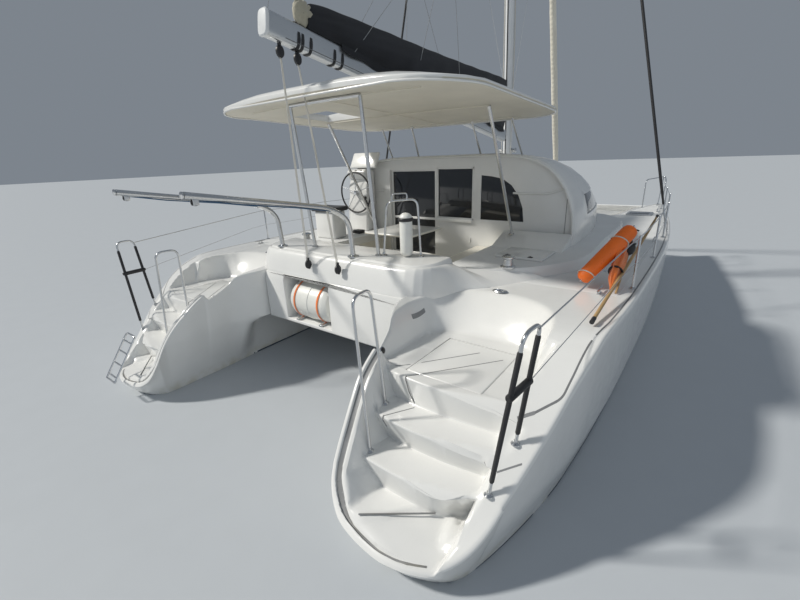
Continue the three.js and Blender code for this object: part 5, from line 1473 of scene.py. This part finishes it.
def build_table():
    leg = [(0.19, 0), (0.19, 0.008), (0.18, 0.015), (0.08, 0.03), (0.058, 0.05), (0.055, 0.08), (0.055, 0.66),
           (0.10, 0.674)]
    top = slab((3.5, 4.42), (-0.12, 0.78), (1.724, 1.76), 0.012)
    piece("table_top_and_leg", [top, lathe(leg, 36, (3.96, 0.33, 1.0505))], GELCOAT, smooth=35,
          replaces=("cockpit_table",))
    piece("table_edge", slab((3.49, 4.43), (-0.13, 0.79), (1.735, 1.748), 0.006), CREAM, smooth=35)
    fold = slab((3.95, 3.954), (-0.121, 0.781), (1.7586, 1.7606), 0.0005)
    piece("table_fold_line", fold, GASKET_GREY_AND_SHADE, smooth=35)


def blow_up(obj, lift):
    """Blows a closed cloth up from inside, with its movement held within a limit."""
    frames = 20
    apply(obj, "REMESH", mode="VOXEL", voxel_size=0.012, use_smooth_shade=True)
    start = np.array([v.co for v in obj.data.vertices])
    cloth = obj.modifiers.new("cloth", "CLOTH")
    cloth.settings.use_pressure = True
    cloth.settings.uniform_pressure_force = 4.0
    cloth.settings.effector_weights.gravity = 0
    cloth.settings.quality = 4
    cloth.settings.tension_stiffness = 25
    cloth.settings.bending_stiffness = 0.6
    cloth.point_cache.frame_end = frames
    scene = bpy.context.scene
    for number in range(1, frames + 1):
        scene.frame_set(number)
    moved = obj.evaluated_get(bpy.context.evaluated_depsgraph_get()).to_mesh()
    step = np.array([v.co for v in moved.vertices]) - start
    obj.modifiers.clear()
    scene.frame_set(1)
    far = np.linalg.norm(step, axis=1, keepdims=True)
    step *= np.minimum(1, lift / np.maximum(far, 1e-9))
    obj.data.vertices.foreach_set("co", (start + step).ravel())
    obj.data.update()


def build_helm_cushion():
    """A cushion blown up by the cloth solver inside its box, with piping round it."""
    x, y, z = (3.33, 3.76), (1.33, 1.90), (2.0605, 2.14)
    lift = 0.012
    inset = lift * 0.7
    box = slab((x[0] + inset, x[1] - inset), (y[0] + inset, y[1] - inset),
               (z[0] + inset * 0.3, z[1] - inset), 0.022)
    obj = piece("helm_cushion", box, VINYL, None, smooth=60)
    blow_up(obj, lift)
    low, high = np.array((x[0] - MID, y[0], z[0])), np.array((x[1] - MID, y[1], z[1]))
    places = np.clip(np.array([v.co for v in obj.data.vertices]), low, high)
    obj.data.vertices.foreach_set("co", places.ravel())
    obj.data.update()
    apply(obj, "SUBSURF", levels=1)
    shade(obj, 60)
    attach(obj, "root")
    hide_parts("helm_seat_pad")
    ring = [(3.345, 1.345, 2.118), (3.745, 1.345, 2.118), (3.745, 1.885, 2.118), (3.345, 1.885, 2.118)]
    loop = rounded(ring + ring[:2], 0.03, 5)[1:-1]
    piece("helm_cushion_piping", sweep(loop, 0.004, 8, caps=False), BLACK, slot="seat_vinyl", smooth=60)


def build_helm():
    """Instrument pod with its hood, dials, compass and throttle."""
    lean = (0, -0.5, 0)
    pod = turn(slab((-0.05, 0.05), (-0.22, 0.22), (-0.09, 0.09), 0.03), (4.40, 1.67, 2.62), lean)
    hood = turn(slab((-0.03, 0.03), (-0.31, 0.31), (-0.15, 0.15), 0.028), (4.49, 1.56, 2.86), (0, 0.5, 0))
    piece("helm_pod", [pod, hood], GELCOAT, smooth=35)
    dial = [(0.001, 0), (0.040, 0), (0.046, 0.004), (0.05, 0.012), (0.05, 0.02)]
    dials = [lathe(dial, 28, (4.349, y, 2.648), lean, axis="X") for y in (1.54, 1.67, 1.80)]
    bowl = [(0.07, 0), (0.075, 0.02), (0.06, 0.05), (0.03, 0.065), (0.005, 0.07)]
    compass = lathe(bowl, 28, (4.50, 1.67, 2.70))
    piece("helm_dials", [*dials, compass], BLACK)
    lever = [(0.012, 0), (0.012, 0.16), (0.03, 0.17), (0.034, 0.20), (0.02, 0.22)]
    piece("helm_throttle", lathe(lever, 20, (4.36, 1.42, 2.05), lean), BLACK)


def build_winches():
    drum = [(0.085, 0), (0.09, 0.02), (0.06, 0.035), (0.055, 0.10), (0.08, 0.12), (0.08, 0.135), (0.04, 0.15),
            (0.02, 0.15)]
    piece("deck_winches", [lathe(drum, 32, (3.05, y, 1.601)) for y in (1.70, -1.86)], STEEL)
    clutches = [slab((3.99, 4.14), (1.36 + k * 0.045, 1.395 + k * 0.045), (1.603, 1.66), 0.006)
                for k in range(4)]
    piece("rope_clutches", clutches, BLACK)


def build_danbuoy():
    """Float with its ends and lashing, and its lamp and staff."""
    foot, head = np.array((3.04, -2.69, 1.57)), np.array((3.42, -3.06, 2.10))
    ends = [(0.0, 0.024), (0.006, 0.045), (0.03, 0.068), (0.07, 0.079), (0.12, 0.082), (0.5, 0.083),
            (0.88, 0.082), (0.93, 0.079), (0.97, 0.068), (0.994, 0.045), (1.0, 0.024)]
    shell = sweep(between(foot, head, [t for t, _ in ends]), [r for _, r in ends], 36)
    piece("danbuoy_shell", shell, ORANGE, smooth=45, replaces=("danbuoy_float",))
    axis = (head - foot) / np.linalg.norm(head - foot)
    tips = ((foot - axis * 0.015, foot + axis * 0.02, 0.012), (head - axis * 0.01, head + axis * 0.02, 0.016))
    piece("danbuoy_ends", [sweep([tuple(a), tuple(b)], radius) for a, b, radius in tips], STEEL)
    u = np.cross(axis, (0, 0, 1))
    u = u / np.linalg.norm(u)
    v = np.cross(axis, u)
    loops = []
    for share in (0.10, 0.74):
        at = foot * (1 - share) + head * share
        ring = [tuple(at + 0.087 * (u * math.cos(t) + v * math.sin(t)) + axis * 0.03 * math.cos(t))
                for t in circle(33)]
        loops.append(sweep(ring, 0.006, 8, caps=False))
    piece("danbuoy_lashing", loops, ROPE_WHITE, slot="orange_foam", smooth=60)
    lamp = [(0.012, -0.075), (0.035, -0.062), (0.055, -0.035), (0.062, 0), (0.055, 0.035), (0.04, 0.055),
            (0.045, 0.06), (0.045, 0.075), (0.02, 0.08)]
    piece("danbuoy_lamp", lathe(lamp, 32, (3.42, -3.05, 1.875), (0.25, 0.2, 0)), BLACK, smooth=50)
    staff = sweep([(3.41, -3.05, 1.81), (3.20, -3.05, 1.66), (2.98, -3.045, 1.50)], 0.011)
    piece("danbuoy_staff", staff, TIMBER)


def build_fender():
    """Fender lashed upright inside the aft rail."""
    x, y = 2.33, -0.90
    profile = [(0.02, 0.0), (0.04, 0.008), (0.066, 0.03), (0.0745, 0.06), (0.075, 0.25), (0.0745, 0.45),
               (0.066, 0.48), (0.04, 0.502), (0.02, 0.51)]
    piece("fender_shell", lathe(profile, 36, (x, y, 1.7803)), FENDER, smooth=45, replaces=("fender",))
    ring = [(x + 0.077 * math.cos(t), y + 0.077 * math.sin(t), 2.215) for t in circle(33)]
    eye = [(x, y + 0.02 * math.cos(t), 2.30 + 0.02 * math.sin(t)) for t in circle(17)]
    strap = [sweep(ring, 0.013, 10, 1.6, caps=False), sweep(eye, 0.005, 8, caps=False)]
    piece("fender_strap", strap, BLACK, slot="canister", smooth=60)


def build_ladder():
    hinge, half, length, lean = (-0.045, 2.17, 0.30), 0.13, 0.62, math.radians(55)

    def along(t, y):
        return (hinge[0] + t * math.cos(lean), hinge[1] + y, hinge[2] + t * math.sin(lean))

    loop = rounded([along(0, -half), along(length, -half), along(length, half), along(0, half)], 0.05, 6)
    parts = [sweep(loop, 0.012, 14)]
    parts += [sweep([along(t, -half), along(t, half)], 0.012) for t in (0.06, 0.22, 0.38, 0.52, 0)]
    piece("ladder_tubes", parts, STEEL, "swim_ladder", replaces=("swim_ladder",))


def build_hatch_details():
    """Rims and panes of the fore hatches, and latches of the side hatch."""
    for side, word in SIDES:
        y = sorted((side * 2.18, side * 2.68))
        body = "fore_hatch_" + word
        rim = slab((9.05, 9.55), y, (1.4806, 1.510), 0.012)
        piece(body + "_rim", rim, ALLOY, body, smooth=35, replaces=(body,))
        pane = slab((9.10, 9.50), (y[0] + 0.05, y[1] - 0.05), (1.500, 1.5142), 0.006)
        piece(body + "_pane", pane, GLASS, body, smooth=35)
    parts = []
    for y in (-1.66, -1.96):
        parts.append(slab((3.50, 3.545), (y - 0.03, y + 0.03), (1.633, 1.642), 0.004))
        parts.append(lathe([(0.012, 0), (0.012, 0.008), (0.004, 0.010)], 16, (3.522, y, 1.641)))
    piece("side_hatch_latches", parts, BLACK, "side_hatch", "gelcoat")


def build_engines():
    tank = [(0.03, 0), (0.055, 0.01), (0.06, 0.02), (0.06, 0.20), (0.055, 0.21), (0.03, 0.22)]
    for side, word in SIDES:
        y0 = side * 2.12
        parts = [slab((1.24, 1.76), (y0 - 0.20, y0 + 0.20), (-0.018, 0.12), 0.03),
                 slab((1.27, 1.70), (y0 - 0.14, y0 + 0.14), (0.10, 0.44), 0.02),
                 slab((1.29, 1.66), (y0 - 0.11, y0 + 0.11), (0.43, 0.57), 0.03),
                 lathe(tank, 24, (1.60, y0 + 0.16, 0.24))]
        for k in range(5):
            fin = (1.31 + k * 0.07, 1.335 + k * 0.07)
            parts.append(slab(fin, (y0 - 0.165, y0 - 0.13), (0.16, 0.42), 0.006))
        for r, z in ((0.09, 0.16), (0.055, 0.38)):
            pulley = [(0.02, 0), (r, 0.004), (r - 0.008, 0.016), (r, 0.028), (0.02, 0.032)]
            parts.append(lathe(pulley, 32, (1.232, y0, z), axis="X"))
        piece("engine_castings_" + word, parts, ENGINE, smooth=35, replaces=("engine_" + word,))
        belt = [(1.248, y0 + dy, z) for dy, z in ((-0.09, 0.16), (-0.055, 0.38), (0.055, 0.38), (0.09, 0.16),
                                                  (0, 0.07), (-0.09, 0.16), (-0.055, 0.38))]
        hose = [(1.66, y0 - 0.1, 0.50), (1.74, y0 - 0.12, 0.48), (1.76, y0 - 0.14, 0.30),
                (1.70, y0 - 0.17, 0.15)]
        shapes = [sweep(rounded(belt, 0.05)[1:-1], 0.008, 8, caps=False), sweep(rounded(hose, 0.05), 0.018)]
        piece("engine_belt_and_hose_" + word, shapes, BLACK, slot="engine_paint")


# Seams, drains and fittings on the hulls and the beam

SEAM = 0.008


def drop(objects, x, y, lift=0.0):
    """The highest point of some pieces under a point, in stern coordinates."""
    best = None
    for obj in objects:
        hit, at, _, _ = obj.ray_cast(Vector((x - MID, y, 6.0)), Vector((0, 0, -1)))
        if hit and (best is None or at.z > best):
            best = at.z
    return (x, y, (best if best is not None else DECK) + lift)


def ribbon(name, route, width, obj, material, body="root", lift=0.0012, steps=8):
    """A flat line laid over the surface of a piece."""
    route = [np.array(q, float) for q in route]
    points = [a * (1 - t) + b * t for a, b in zip(route, route[1:]) for t in np.arange(steps) / steps]
    points.append(route[-1])
    rows = []
    for i, p in enumerate(points):
        way = points[min(i + 1, len(points) - 1)] - points[max(i - 1, 0)]
        across = np.array((-way[1], way[0])) / max(np.hypot(*way), 1e-6) * width / 2
        rows.append([drop([obj], *(p + across), lift), drop([obj], *(p - across), lift)])
    return piece(name, plate(np.array(rows), lift + 0.001), material, body)


def rim_strip(name, side, hull, begin, end, material, steps=5):
    """A dark strip of painted shade laid in the gutter between two places along the rim."""
    line = rim_line()
    along = np.concatenate([[0], np.cumsum(np.hypot(*np.diff(line, axis=0).T))])

    def on_rim(places):
        return np.stack([np.interp(places, along, line[:, k]) for k in (0, 1)], 1)

    places = np.arange(begin, end, 0.012)
    at, ahead = on_rim(places), on_rim(places + 0.03) - on_rim(places - 0.03)
    inward = np.stack([ahead[:, 1], -ahead[:, 0]], 1)
    inward *= np.sign((inward * (np.array((1.2, 2.2)) - at)).sum(1).mean()) / np.hypot(*inward.T)[:, None]
    rows = []
    for place, spot, way in zip(places, at, inward):
        near, far = LIP + 0.004, float(gutter_width(place)) - 0.004
        row = [spot + way * (near + (far - near) * k / steps) for k in range(steps + 1)]
        rows.append([drop([hull], x, y * side, 0.002) for x, y in row])
    top = np.array(rows)
    return piece(name, closed(np.concatenate([top, top[:, ::-1] - (0, 0, 0.006)], 1)), material, smooth=60)


def flip(route, side):
    return [(q[0], q[1] * side, *q[2:]) for q in route]


def build_gaskets(side, word, hull, lid):
    """Gaskets of the engine hatch over the landing, down two risers and along the tread between them."""
    lines = (("fore", ((1.09, 1.64), (1.19, 1.735)), ((1.215, 1.765), (1.72, 2.16))),
             ("aft", ((0.995, 1.835), (1.075, 1.902)), ((1.10, 1.925), (1.70, 2.40))))
    for name, outer, inner in lines:
        ribbon(f"gasket_{name}_{word}", flip(outer, side), SEAM, hull, GASKET_GREY_AND_SHADE)
        ribbon(f"gasket_{name}_lid_{word}", flip(inner, side), SEAM, lid, GASKET_GREY_AND_SHADE, "engine_lid_" + word)
    top, low = float(row_x(0.955, np.array(1.84))), float(row_x(0.685, np.array(1.78)))
    risers = (((top + 0.03, 1.83, 1.121), (top + 0.012, 1.835, 1.119), (top + 0.004, 1.84, 1.10),
               (top + 0.02, 1.86, 0.98), (top + 0.045, 1.90, 0.86)),
              ((low + 0.03, 1.775, 0.858), (low + 0.012, 1.78, 0.856), (low + 0.003, 1.785, 0.835),
               (low + 0.03, 1.80, 0.76)))
    piece("gasket_riser_" + word, [sweep(flip(riser, side), 0.004, 8) for riser in risers], GASKET_GREY_AND_SHADE)
    tread = flip(((top + 0.001, 1.925), (low + 0.02, 1.775)), side)
    ribbon("gasket_tread_" + word, tread, SEAM, hull, GASKET_GREY_AND_SHADE)


def build_seams(side, word, hull):
    """Drain over the lowest tread and the joint between deck and hull, both drawn as dark lines of painted
    shade for their grooves, and the short cross seams.
    """
    # The drain's channel is drawn as a dark grey tube: painted shade
    drain = [(x, y * side, TREADS[0] + 0.001) for x, y in ((0.214, 1.913), (0.33, 2.075), (0.555, 2.390))]
    piece("drain_painted_shade_" + word, sweep(drain, 0.007, 8), SEAM_GREY_AND_SHADE)
    # The joint's groove is drawn as a flat dark ribbon: painted shade
    edge = [(x, float(side_out(x, DECK)) - 0.055, 0) for x in np.arange(8.6, 2.0, -0.4)]
    edge += [(1.75, 3.078, 0), (1.45, 3.058, 0), (1.27, 3.035, 0), (1.20, 2.965, 0), (1.125, 2.89, 0)]
    edge = [(q.x, q.y) for q in rounded(edge, 0.05)]
    ribbon("deck_joint_painted_shade_" + word, flip(edge, side), 0.014, hull, GASKET_GREY_AND_SHADE, steps=3)
    ribbon("side_seam_" + word, flip(((0.765, 2.77), (0.865, 2.91)), side), 0.009, hull, SEAM_GREY_AND_SHADE)
    ribbon("corner_seam_" + word, flip(((1.05, 2.79), (1.125, 2.89)), side), 0.020, hull, SEAM_GREY_AND_SHADE)


def cleat(x, y, z):
    parts = [slab((x - 0.05, x + 0.05), (y - 0.018, y + 0.018), (z, z + 0.012), 0.004)]
    parts += [lathe([(0.009, 0), (0.009, 0.045)], 12, (x + dx, y, z)) for dx in (-0.03, 0.03)]
    horns = ((-0.12, 0.052), (-0.10, 0.05), (0, 0.046), (0.10, 0.05), (0.12, 0.052))
    return parts + [sweep([(x + dx, y, z + dz) for dx, dz in horns], [0.006, 0.010, 0.012, 0.010, 0.006])]


def build_deck_fittings(side, word, hull):
    """Fairlead behind the niche, cleats, deck fillers, and the socket and vent on the inner side."""
    fairlead = [(0.030, 0), (0.045, 0.004), (0.052, 0.012), (0.046, 0.020), (0.032, 0.022), (0.026, 0.004)]
    throat = [(0.001, 0), (0.026, 0), (0.026, 0.008), (0.001, 0.009)]
    filler = [(0.045, 0), (0.045, 0.004), (0.04, 0.006), (0.012, 0.006)]
    ring = [(0.030, 0), (0.036, 0.002), (0.036, 0.006), (0.028, 0.010), (0.028, 0.004)]
    socket = [(0.001, 0.0), (0.028, 0.0), (0.028, 0.007), (0.012, 0.012), (0.001, 0.012)]
    at, long = drop([hull], 2.49, 2.01 * side), (1.0, 1.7, 1.0)
    spot, tilt = (1.14, 1.452 * side, 1.20), (-1.2 * side, 0, 0)
    steel = [lathe(fairlead, 28, at, scale=long)]
    for x, y in ((2.95, 2.90), (6.1, 3.05), (9.85, 2.72)):
        steel += cleat(*drop([hull], x, y * side))
    steel += [lathe(filler, 28, drop([hull], x, y * side, -0.001)) for x, y in ((3.9, 2.78), (4.25, 2.80))]
    piece("deck_fittings_" + word, [*steel, lathe(ring, 28, spot, tilt)], STEEL)
    piece("deck_sockets_" + word, [lathe(throat, 24, at, scale=long), lathe(socket, 24, spot, tilt)], BLACK)
    vent = flip(((1.70, 1.402), (1.90, 1.428)), side)
    ribbon("niche_vent_" + word, vent, 0.020, hull, SEAM_GREY_AND_SHADE, lift=0.002)


def build_pole():
    """Boat pole inside the starboard lifeline."""
    pole = [(2.10, -3.03, 1.525), (3.4, -3.06, 1.70), (4.9, -3.10, 1.93), (5.2, -3.105, 1.975)]
    piece("boat_pole", sweep(pole, [0.016, 0.017, 0.017, 0.012], 14), TIMBER)
    heel = sweep([(2.02, -3.029, 1.514), (2.10, -3.031, 1.526)], [0.02, 0.019])
    tip = sweep([(5.19, -3.105, 1.974), (5.28, -3.107, 1.988)], [0.014, 0.02])
    piece("pole_ends", [heel, tip], BLACK, slot="gelcoat")


def build_sling():
    """Folded sling beside the danbuoy, with its straps."""
    head, foot = np.array((3.60, -3.0, 2.05)), np.array((2.98, -2.99, 1.53))
    rings = []
    for k in range(41):
        t = k / 40
        wide = 0.050 + 0.055 * math.sin(math.pi * t) ** 0.8 + 0.010 * math.sin(9 * t)
        deep = 0.042 + 0.012 * math.sin(math.pi * t) + 0.006 * math.sin(13 * t + 1)
        end = max(0.15, min(1.0, 6 * t, 6 * (1 - t)))
        x, y, z = head * (1 - t) + foot * t
        ring = []
        for j in range(40):
            a = 2 * math.pi * j / 40
            fold = 1 + 0.16 * math.cos(6 * a + 3 * t) + 0.05 * math.sin(11 * a - 5 * t)
            across = wide * fold * math.cos(a) * end
            ring.append((x + across * 0.64, y + deep * fold * math.sin(a) * end, z - across * 0.77))
        rings.append(ring)
    sling = piece("folded_sling", closed(rings), SLING, smooth=60)
    straps = []
    for t in (0.22, 0.72):
        x, y, z = head * (1 - t) + foot * t
        ring = [(x + 0.096 * 0.64 * math.cos(a), y + 0.062 * math.sin(a), z - 0.096 * 0.77 * math.cos(a))
                for a in circle(33)]
        straps.append(sweep(ring, 0.010, 8, 1.4, caps=False))
    straps.append(sweep([(3.60, -3.0, 2.04), (3.59, -3.05, 2.058), (3.585, -3.10, 2.044)], 0.008, 8))
    piece("sling_straps", straps, BLACK_SLEEVE, slot="orange_foam", smooth=60)


# Slope from the seat back to the aft beam and the side decks: its upper and lower edge, seen from
# above from the middle outwards, the upper edge's height and how round the slope is
SLOPE = (
    ((1.965, 0.00), (1.832, 0.00), 1.762, 2.4),
    ((1.965, 1.05), (1.832, 1.02), 1.762, 2.4),
    ((1.974, 1.18), (1.842, 1.17), 1.762, 2.3),
    ((2.004, 1.26), (1.880, 1.285), 1.762, 2.2),
    ((2.052, 1.315), (1.955, 1.37), 1.760, 2.1),
    ((2.114, 1.362), (2.060, 1.445), 1.758, 2.0),
    ((2.186, 1.390), (2.180, 1.515), 1.755, 1.8),
    ((2.264, 1.400), (2.300, 1.595), 1.750, 1.6),
    ((2.380, 1.402), (2.430, 1.710), 1.742, 1.4),
    ((2.500, 1.395), (2.560, 1.850), 1.720, 1.25),
    ((2.640, 1.440), (2.720, 1.960), 1.640, 1.15),
    ((2.860, 1.700), (2.960, 2.080), 1.600, 1.1),
    ((3.120, 1.960), (3.240, 2.270), 1.592, 1.1),
)
BEAM_END, BEAM_FOOT = 1.34, 1.462


def build_slope():
    steps, across = 8, 14
    rows = [[np.array(p) * (1 - k / steps) + np.array(q) * (k / steps) for p, q in zip(a, b)]
            for a, b in zip(SLOPE, SLOPE[1:]) for k in range(steps)]
    rows.append([np.array(q) for q in SLOPE[-1]])
    half = []
    for upper, lower, high, bend in rows:
        foot = BEAM_FOOT if lower[1] < BEAM_END else surface_z(*lower) - 0.006
        ring = []
        for t in np.linspace(0, 1, across):
            x, y = upper * (1 - t) + lower * t
            ring.append((x, y, foot + (high - foot) * (1 - t**bend)))
        half.append([*ring, (*lower, foot - 0.03), (*upper, high - 0.05)])
    mirrored = [[(x, -y, z) for x, y, z in ring] for ring in half[:0:-1]]
    piece("beam_slope", closed(mirrored + half), GELCOAT, smooth=50)


def stern_box(node):
    """A frame node's box in stern coordinates."""
    low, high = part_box(node)
    return [(low[k] + shift, high[k] + shift) for k, shift in enumerate((MID, 0, 0))]


def frame_round(x, y, z, width, proud):
    """Four flat bars round an opening in a wall across the boat."""
    wide, tall = (y[0] - width, y[1] + width), (z[0] - width, z[1] + width)
    bars = ((wide, (z[1], tall[1])), (wide, (tall[0], z[0])),
            ((wide[0], y[0]), tall), ((y[1], wide[1]), tall))
    return [slab((x - proud, x + 0.002), *bar, 0.004) for bar in bars]


def build_wall_mouldings():
    """Frame, sill, brows and seams on the saloon's aft wall."""
    wall, window = stern_box("aft_wall")[0][0], stern_box("centre_window")
    parts = frame_round(wall, window[1], window[2], 0.028, 0.008)
    parts.append(slab((wall - 0.045, wall + 0.002), (window[1][0] - 0.02, window[1][1] + 0.02),
                      (window[2][0] - 0.075, window[2][0] - 0.012), 0.012))
    parts.append(slab((wall - 0.012, wall + 0.002), (-0.548, -0.528), (1.50, 1.58), 0.004))
    brow = ((1.25, 2.318), (1.50, 2.312), (1.78, 2.316), (1.92, 2.362), (2.03, 2.405))
    for side in (1, -1):
        parts.append(sweep(rounded([(wall - 0.004, side * y, z) for y, z in brow], 0.06), 0.016))
    piece("wall_mouldings", parts, GELCOAT)
    seams = [sweep([(wall - 0.001, y, z) for z in (1.66, 2.0, 2.29)], 0.004, 8) for y in (2.045, -2.045)]
    piece("wall_seams", seams, GASKET_GREY_AND_SHADE)


def build_door_furniture():
    leaf, glass = stern_box("saloon_door"), stern_box("saloon_door_glass")
    face = leaf[0][0]
    bar = slab((face - 0.001, glass[0][0] + 0.004), (glass[1][0] - 0.01, glass[1][1] + 0.01),
               (1.825, 1.865), 0.0015)
    piece("door_cross_bar", bar, GELCOAT, "saloon_door", smooth=35)
    handle = slab((face - 0.002, face + 0.004), (leaf[1][0] + 0.03, leaf[1][0] + 0.055), (2.04, 2.22), 0.0015)
    piece("door_handle", handle, BLACK, "saloon_door", smooth=35)
    gasket = frame_round(glass[0][0] + 0.001, glass[1], glass[2], 0.006, 0.003)
    piece("door_gasket", gasket, GASKET_GREY_AND_SHADE, "saloon_door", smooth=35)


build_camera()
build_stage()
hulls = {word: build_hull(side, "hull_" + word) for side, word in SIDES}
refined = build_refined()
for side, word in SIDES:
    # The dark strip in each gutter is painted shade
    rim_strip("gutter_painted_shade_" + word, side, hulls[word], 0.62, GUTTER_END - 0.02, SEAM_GREY_AND_SHADE)
    build_gaskets(side, word, hulls[word], refined["engine_lid_" + word])
    build_seams(side, word, hulls[word])
    build_deck_fittings(side, word, hulls[word])
build_pole()
build_sling()
build_slope()
build_wall_mouldings()
build_door_furniture()
build_top_ribs()
build_top_moulding()
build_top_frame()
build_mast()
build_mast_fittings()
build_boom()
build_cover()
build_clew()
build_cover_flaps()
build_boom_straps()
build_mainsheet()
build_lazy_jacks()
build_headsail()
build_shrouds()
build_diamond_stays()
build_guardrails()
build_stair_rails()
build_aft_rail()
build_davits()
build_crossbeam()
build_nets()
build_windlass()
build_anchor()
build_raft()
build_wheel()
build_table()
build_helm_cushion()
build_helm()
build_winches()
build_danbuoy()
build_fender()
build_ladder()
build_hatch_details()
build_engines()
build_underwater()
